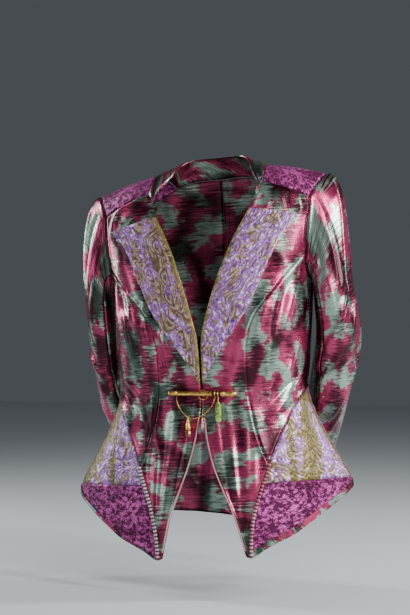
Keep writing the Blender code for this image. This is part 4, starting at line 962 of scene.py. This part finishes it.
# Half width and half depth of the ring that it leans in to
NECK_RING = (60.0, 53.0)
COLLAR_ROWS, COLLAR_BULGE, COLLAR_STAND = 4, 3.0, 30.0
COLLAR_CLEAR_OF_LAPEL = 1
yoke_halves = yoke_chart()
yoke_edge = np.concatenate((yoke_halves[0][::-1, 0], yoke_halves[1][1:, 0]))
neckline = joined(seam(NECK_FRONT)[::-1], yoke_edge, seam(NECK_BACK)[::-1])
left_foot = body(neckline, 0)[0][COLLAR_CLEAR_OF_LAPEL * FINENESS:]
length = run(left_foot)
closing, top_height = smooth(length / length[-1], *table(COLLAR)).T
inward = -unit(left_foot * (1, 1, 0))
reach = closing * (np.linalg.norm(left_foot * (1, 1, 0), axis=1)
                   - 1 / np.hypot(inward[:, 0] / NECK_RING[0], inward[:, 1] / NECK_RING[1]))
left_top = left_foot + inward * reach[:, None]
left_top[:, 2] = np.maximum(top_height, left_foot[:, 2] + 2 * SEAT)
foot, top = (np.concatenate((line, (line * (-1, 1, 1))[-2::-1])) for line in (left_foot, left_top))
share = np.linspace(0, 1, COLLAR_ROWS * FINENESS + 1)[:, None, None]
span = np.minimum(np.linalg.norm(top - foot, axis=-1) / COLLAR_STAND, 1)
outward = -np.concatenate((inward, (inward * (-1, 1, 1))[-2::-1]))
grid = foot + share * (top - foot)
grid = grid + (outward + (0, 0, 1)) * (np.sin(share * math.pi) * span[:, None] * COLLAR_BULGE)
grid[0] += SEAT * unit(grid[1] - grid[0])
grid = edged(grid)
out = unit(np.cross(np.gradient(grid, axis=1), np.gradient(grid, axis=0)))
if out[len(out) // 2, 0, 2] < 0:
    out = -out
made = cloth("collar_satin", grid, out, np.stack((run(grid), run(grid, 1)), -1), SATIN_THICKNESS, LEFT,
             satin, "collar")
sewn_to(made, grid, "yoke_left", "yoke_right", "back_left", "back_right")


# Sleeves, in the main satin, each cut as a top sleeve and an under sleeve.
# They hang bent at the elbow, cuffs behind the hips, so drag folds run from there to the inner side.
# The sleeve head is eased into the armhole over the padded shoulder.
# Rings of each sleeve from its head to its cuff: centre from the middle, back and up, half width, half depth
SLEEVES = {
    LEFT: (
        (209, 12, -225, 36, 62), (214, 24, -280, 38, 60), (206, 42, -345, 39, 56), (191, 70, -405, 37, 51),
        (172, 104, -462, 35, 46), (156, 136, -512, 34, 43), (146, 160, -552, 33, 41),
    ),
    RIGHT: (
        (199, 25, -225, 29, 66), (199, 40, -280, 29, 63), (197, 60, -345, 30, 58), (185, 84, -405, 31, 52),
        (167, 112, -462, 34, 46), (155, 138, -512, 33, 43), (146, 160, -552, 32, 41),
    ),
}
SLEEVE_TUBE_ROWS, SLEEVE_CAP_ROWS = 11, 7
SLEEVE_SQUARENESS = 2.2
SLEEVE_ROUND, SLEEVE_LONG = 300.0, 560.0
# Lift of the sleeve where it leaves the armhole in degrees, by height
SLEEVE_LEAVE = ((0, 25), (-35, 22), (-70, 12), (-130, 34), (-205, 76))
SLEEVE_GAP = 0.5
CAP_HANDLES, CAP_SPACING = (0.18, 0.45), 1.15
BESIDE_BODY, BESIDE_SOFTNESS = 1.5, 6.0
ARMHOLE_FOOT, BESIDE_FADE = -203.0, 8.0
TOP_SLEEVE_FRONT, TOP_SLEEVE_BACK = 9, 21
# How much further along the bolt the right sleeve is cut
RIGHT_ALONG_BOLT = 500
# Drag folds: start round in turns and down from 0 to 1, end, half width, height
SLEEVE_FOLDS = {
    LEFT: ((0.02, 0.42, 0.30, 0.62, 7, 4.6), (0.10, 0.38, 0.33, 0.58, 7, 4.2),
        (0.92, 0.50, 0.20, 0.72, 8, 4.6), (0.30, 0.20, 0.22, 0.40, 10, 2.8),
        (0.05, 0.15, 0.00, 0.34, 12, 2.4)),
    RIGHT: ((0.05, 0.52, 0.34, 0.60, 7, 4.6), (0.00, 0.44, 0.28, 0.55, 8, 3.6),
        (0.92, 0.60, 0.22, 0.74, 8, 4.2), (0.28, 0.18, 0.18, 0.42, 10, 2.8),
        (0.03, 0.12, 0.06, 0.32, 12, 2.4)),
}
# Finer creases of the sleeves, in the same columns
SLEEVE_CREASES = {
    LEFT: ((0.04, 0.36, 0.30, 0.56, 6, -3.4), (0.11, 0.47, 0.31, 0.67, 5, -3.4),
        (0.05, 0.12, 0.10, 0.42, 6, 3.0), (0.18, 0.08, 0.15, 0.36, 6, 2.6),
        (0.24, 0.10, 0.26, 0.30, 5, -2.2), (0.12, 0.06, 0.11, 0.30, 5, -2.0),
        (0.00, 0.60, 0.22, 0.80, 6, 2.8), (0.96, 0.66, 0.16, 0.88, 5, -2.4),
        (0.80, 0.30, 0.95, 0.50, 6, 2.8), (0.74, 0.50, 0.94, 0.62, 6, 2.8),
        (0.50, 0.30, 0.62, 0.52, 8, 2.6), (0.55, 0.46, 0.72, 0.62, 7, 2.6)),
    RIGHT: ((0.05, 0.47, 0.32, 0.57, 6, -3.4), (0.10, 0.57, 0.34, 0.65, 5, -3.4),
        (0.05, 0.12, 0.09, 0.44, 6, 3.0), (0.17, 0.08, 0.15, 0.38, 6, 2.8),
        (0.22, 0.08, 0.24, 0.32, 5, -2.4), (0.11, 0.06, 0.12, 0.32, 5, -2.2),
        (0.00, 0.66, 0.20, 0.82, 6, 2.8), (0.96, 0.50, 0.14, 0.62, 5, -2.4),
        (0.80, 0.34, 0.95, 0.52, 6, 2.8), (0.76, 0.52, 0.94, 0.64, 6, 2.8),
        (0.50, 0.34, 0.64, 0.54, 8, 2.6), (0.56, 0.48, 0.72, 0.64, 7, 2.6)),
}


def armhole(side):
    """The armhole loop from the shoulder tip down the front and up the back, with its directions."""
    front, back = yoke_chart()
    chart = joined(front[:, -1], seam(ARMHOLE_FRONT), seam(ARMHOLE_LOW), seam(ARMHOLE_LOW_BACK)[::-1],
                   seam(ARMHOLE_BACK)[::-1], back[::-1, -1])[:-1]
    points, out = body(chart, side)
    along = unit(np.roll(points, -1, axis=0) - np.roll(points, 1, axis=0))
    leave = unit(np.cross(along, out))
    if leave[0, 0] < 0:
        leave = -leave
    lift = np.radians(smooth(points[:, 2], *table(SLEEVE_LEAVE)))[:, None]
    return points, np.cos(lift) * leave + np.sin(lift) * out


def beside_body(grid):
    """Sleeve points moved out sideways where they would touch the body, as cloth pressed to it."""
    half, front, back, power = torso(grid[..., 2])
    depth = np.where(grid[..., 1] < 0, front, back)
    share = np.clip(np.abs(grid[..., 1]) / depth, 0, 1)
    wall_x = half * (1 - share ** power) ** (1 / power) + BESIDE_BODY
    below = np.clip((ARMHOLE_FOOT - grid[..., 2]) / BESIDE_FADE, 0, 1)
    inside = wall_x - grid[..., 0]
    push = (inside + np.sqrt(inside ** 2 + BESIDE_SOFTNESS ** 2)) / 2 * below
    return grid + push[..., None] * (1, 0, 0)


def sleeve_rings(count, side):
    """Rings of the sleeve tube, square to a smooth path through the centres."""
    rows = np.asarray(SLEEVES[side], float)
    places = run(rows[:, :3])
    line = smooth(np.linspace(0, places[-1], SLEEVE_TUBE_ROWS * FINENESS + 1), places, rows)
    along = unit(np.gradient(line[:, :3], axis=0))
    wide = unit(np.array((1.0, 0, 0)) - along * along[:, :1])
    deep = np.cross(along, wide)
    turn = np.arange(count) / count * 2 * math.pi
    power = 2 / SLEEVE_SQUARENESS
    cosine, sine = (np.sign(part) * np.abs(part) ** power for part in (np.cos(turn), np.sin(turn)))
    centre, half_width, half_depth = line[:, None, :3], line[:, None, 3:4], line[:, None, 4:5]
    across = wide[:, None] * half_width * cosine[None, :, None]
    forward = deep[:, None] * half_depth * sine[None, :, None]
    rings = centre + across + forward
    if rings[0, count // 4, 1] > rings[0, 0, 1]:
        rings = centre + across - forward
    return beside_body(rings), along[0]


def sleeve_out(grid):
    """Outward directions of a closed tube of rings."""
    around = np.roll(grid, -1, axis=1) - np.roll(grid, 1, axis=1)
    out = unit(np.cross(np.gradient(grid, axis=0), around))
    return out if out[-1, 0, 0] > 0 else -out


def sleeve_rows(rows):
    """Fold rows given in turns and shares of the length, turned into millimetres."""
    for start_round, start_down, end_round, end_down, width, crest in rows:
        end_round += 0 if abs(end_round - start_round) < 0.5 else 1
        yield (start_round * SLEEVE_ROUND, start_down * SLEEVE_LONG,
               end_round * SLEEVE_ROUND, end_down * SLEEVE_LONG, width, crest)


def sleeve_grid(side):
    """The whole sleeve as rings: a cap eased into the armhole, then the tube to the cuff."""
    start, leave = armhole(side)
    count = len(start)
    tube, down = sleeve_rings(count, side)
    start = start + SLEEVE_GAP * leave
    reach = np.linalg.norm(tube[0] - start, axis=-1, keepdims=True)
    first, second = start + CAP_HANDLES[0] * reach * leave, tube[0] - CAP_HANDLES[1] * reach * down
    share = (np.linspace(0, 1, SLEEVE_CAP_ROWS * FINENESS + 1) ** CAP_SPACING)[:-1, None, None]
    cap = ((1 - share) ** 3 * start + 3 * share * (1 - share) ** 2 * first
           + 3 * share ** 2 * (1 - share) * second + share ** 3 * tube[0])
    grid = np.concatenate((cap, tube))
    out = sleeve_out(grid)
    round_mm = np.arange(count)[None] / count * SLEEVE_ROUND
    down_mm = np.linspace(0, 1, len(grid))[:, None] * SLEEVE_LONG
    crest = sum(ridges(sleeve_rows(rows[side]), round_mm + turn, down_mm, tapered)
                for rows, tapered in ((SLEEVE_FOLDS, False), (SLEEVE_CREASES, True))
                for turn in (0, SLEEVE_ROUND))
    grid = beside_body(grid + out * crest[..., None])
    return grid, sleeve_out(grid)


for side, word in SIDE_NAMES.items():
    grid, out = sleeve_grid(side)
    count = grid.shape[1]
    steps_down = np.linalg.norm(np.diff(grid, axis=0), axis=-1).mean(axis=1)
    down_mm = np.concatenate(((0,), np.cumsum(steps_down)))
    spans = {"top_sleeve": np.arange(TOP_SLEEVE_BACK * FINENESS, count + TOP_SLEEVE_FRONT * FINENESS + 1),
             "under_sleeve": np.arange(TOP_SLEEVE_FRONT * FINENESS, TOP_SLEEVE_BACK * FINENESS + 1)}
    for name, columns in spans.items():
        around = columns % count
        points, away = edged_both(grid[:, around], out[:, around])
        round_mm = columns / count * SLEEVE_ROUND + RIGHT_ALONG_BOLT * (side == RIGHT)
        uv = edged(np.stack(np.broadcast_arrays(round_mm[None], down_mm[:, None]), -1))
        made = cloth(f"{name}_satin_{word}", drawn_back(points), away, uv, SATIN_THICKNESS, side, satin,
                     f"{name}_{word}")
        sewn_to(made, points, f"yoke_{word}", f"front_{word}", f"back_{word}")


# Clasp, chain rings and caps, in gilt metal.
# A hammered bar with a dark collar and a knob is sewn on by two shanks, with a ring behind it.
def wear(finish, *nodes):
    """Give CAD nodes a material."""
    for name in nodes:
        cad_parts[name].material_slots[0].material = finish.material


gilt = Finish("gilt_metal", Metallic=1.0)
at = gilt.node("TexCoord", None, 3)
dents = gilt.noise(at, (420, 420, 420), 2.0)
worn = gilt.noise(at, (150, 150, 150), 3.0)
gilt.wear(Base_Color=gilt.mix(gilt.step(worn, 0.35, 0.65), (0.72, 0.36, 0.06), (1.0, 0.66, 0.20)),
          Roughness=0.20 + worn * 0.20)
gilt.bump(dents, 0.0009, 0.9)
wear(gilt, "clasp_bar", "clasp_knob", "clasp_ring", "clasp_shank_left", "clasp_shank_right",
     "chain_ring_left", "chain_ring_right", "amber_cap", "green_cap")
patina = Finish("dark_patina_metal", Metallic=0.8)
at = patina.node("TexCoord", None, 3)
worn = patina.noise(at, (500, 500, 500), 3.0)
patina.wear(Base_Color=patina.mix(patina.step(worn, 0.55, 0.75), (0.020, 0.013, 0.010), (0.42, 0.22, 0.07)),
            Roughness=0.3 + worn * 0.25)
patina.bump(worn, 0.0007, 0.8)
wear(patina, "clasp_collar")


# Chains, in gilt wire.
# Small round links hang in a swag from the bar, and a short straight chain hangs from the ring.
CLASP_Y, CLASP_Z = -115.3, -386.0
# The swag from the bar and back: distance from the middle of the clasp, height
CHAIN_PATH = ((-41, -392.2), (-40, -399), (-35, -410), (-27, -420), (-19, -426), (-10, -428), (0, -425),
              (12, -417), (21, -406), (25.5, -392.2))
CHAIN_LEAN = 0.24
LINK_PITCH, LINK_HALF_LENGTH, LINK_HALF_WIDTH, LINK_WIRE = 1.75, 1.25, 0.85, 0.28
LINK_SIDES, WIRE_SIDES = 12, 5
clasp_shift = float(smooth(CLASP_Z, *table(HIP_SHIFT)))


def links(name, path, finish, node):
    """Oval rings threaded along a path, each turned a quarter from the one before.

    A link is centre + (a cos t) along + (b sin t) across, swept by a small circle of wire.
    """
    places = run(path)
    count = int(places[-1] // LINK_PITCH)
    at = (np.arange(count) + 0.5) * places[-1] / count
    centre = smooth(at, places, path)
    along = unit(smooth(at + 0.5, places, path) - smooth(at - 0.5, places, path))
    across = unit(np.cross(along, (0.0, 1.0, 0.0)))
    facing = np.cross(along, across)
    odd = (np.arange(count) % 2).astype(bool)[:, None]
    wide, thin = np.where(odd, across, facing), np.where(odd, facing, across)
    turn = (np.arange(LINK_SIDES) / LINK_SIDES * 2 * math.pi)[None, :, None, None]
    wire = (np.arange(WIRE_SIDES) / WIRE_SIDES * 2 * math.pi)[None, None, :, None]
    ring = (along[:, None, None] * np.cos(turn) * (LINK_HALF_LENGTH + LINK_WIRE * np.cos(wire))
            + wide[:, None, None] * np.sin(turn) * (LINK_HALF_WIDTH + LINK_WIRE * np.cos(wire))
            + thin[:, None, None] * LINK_WIRE * np.sin(wire))
    points = (centre[:, None, None] + ring).reshape(-1, 3) * MM
    index = np.arange(count * LINK_SIDES * WIRE_SIDES).reshape(count, LINK_SIDES, WIRE_SIDES)
    near, after = np.roll(index, -1, axis=1), np.roll(index, -1, axis=2)
    both = np.roll(near, -1, axis=2)
    faces = np.stack((index, near, both, after), -1)
    turned_over = np.cross(along, wide)[:, None] * thin[:, None]
    flip = turned_over.sum(axis=-1)[:, 0] < 0
    faces[flip] = faces[flip][..., ::-1]
    mesh = bpy.data.meshes.new(name)
    mesh.from_pydata(points.tolist(), [], faces.reshape(-1, 4).tolist())
    fixed(mesh, finish, node)


swag = np.asarray(CHAIN_PATH, float)
swag_y = CLASP_Y - CHAIN_LEAN * (CHAIN_PATH[0][1] - swag[:, 1])
swag = np.stack((swag[:, 0] + clasp_shift, swag_y, swag[:, 1]), -1)
links("swag_chain_links", swag, gilt, "chain")
wear(gilt, "pendant_chain")


# Drops, in glass.
# An amber drop hangs from the swag chain in a gilt cap, a green prism from the bar and a small pink
# drop from the short chain.
# Node, material, bright and deep colours, scale of the swirls
GLASSES = (
    ("amber_drop", "amber_glass_body", (0.40, 0.050, 0.004), (0.070, 0.004, 0.001), 160),
    ("green_drop", "green_glass_body", (0.40, 0.58, 0.13), (0.10, 0.19, 0.03), 120),
    ("pendant_drop", "pink_glass_body", (0.80, 0.34, 0.30), (0.40, 0.10, 0.10), 220),
)
for node, name, bright, deep, swirl_scale in GLASSES:
    glass = Finish(name, Roughness=0.06, IOR=1.52, Coat_Weight=1.0, Coat_Roughness=0.03,
                   Transmission_Weight=0.08)
    at = glass.node("TexCoord", None, 3)
    swirl = glass.noise(at, (swirl_scale, swirl_scale, swirl_scale), 3.0, 1.0)
    glass.wear(Base_Color=glass.mix(glass.step(swirl, 0.35, 0.65), deep, bright))
    glass.bump(glass.noise(at, (300, 300, 300), 2.0), 0.0004, 0.5)
    wear(glass, node)
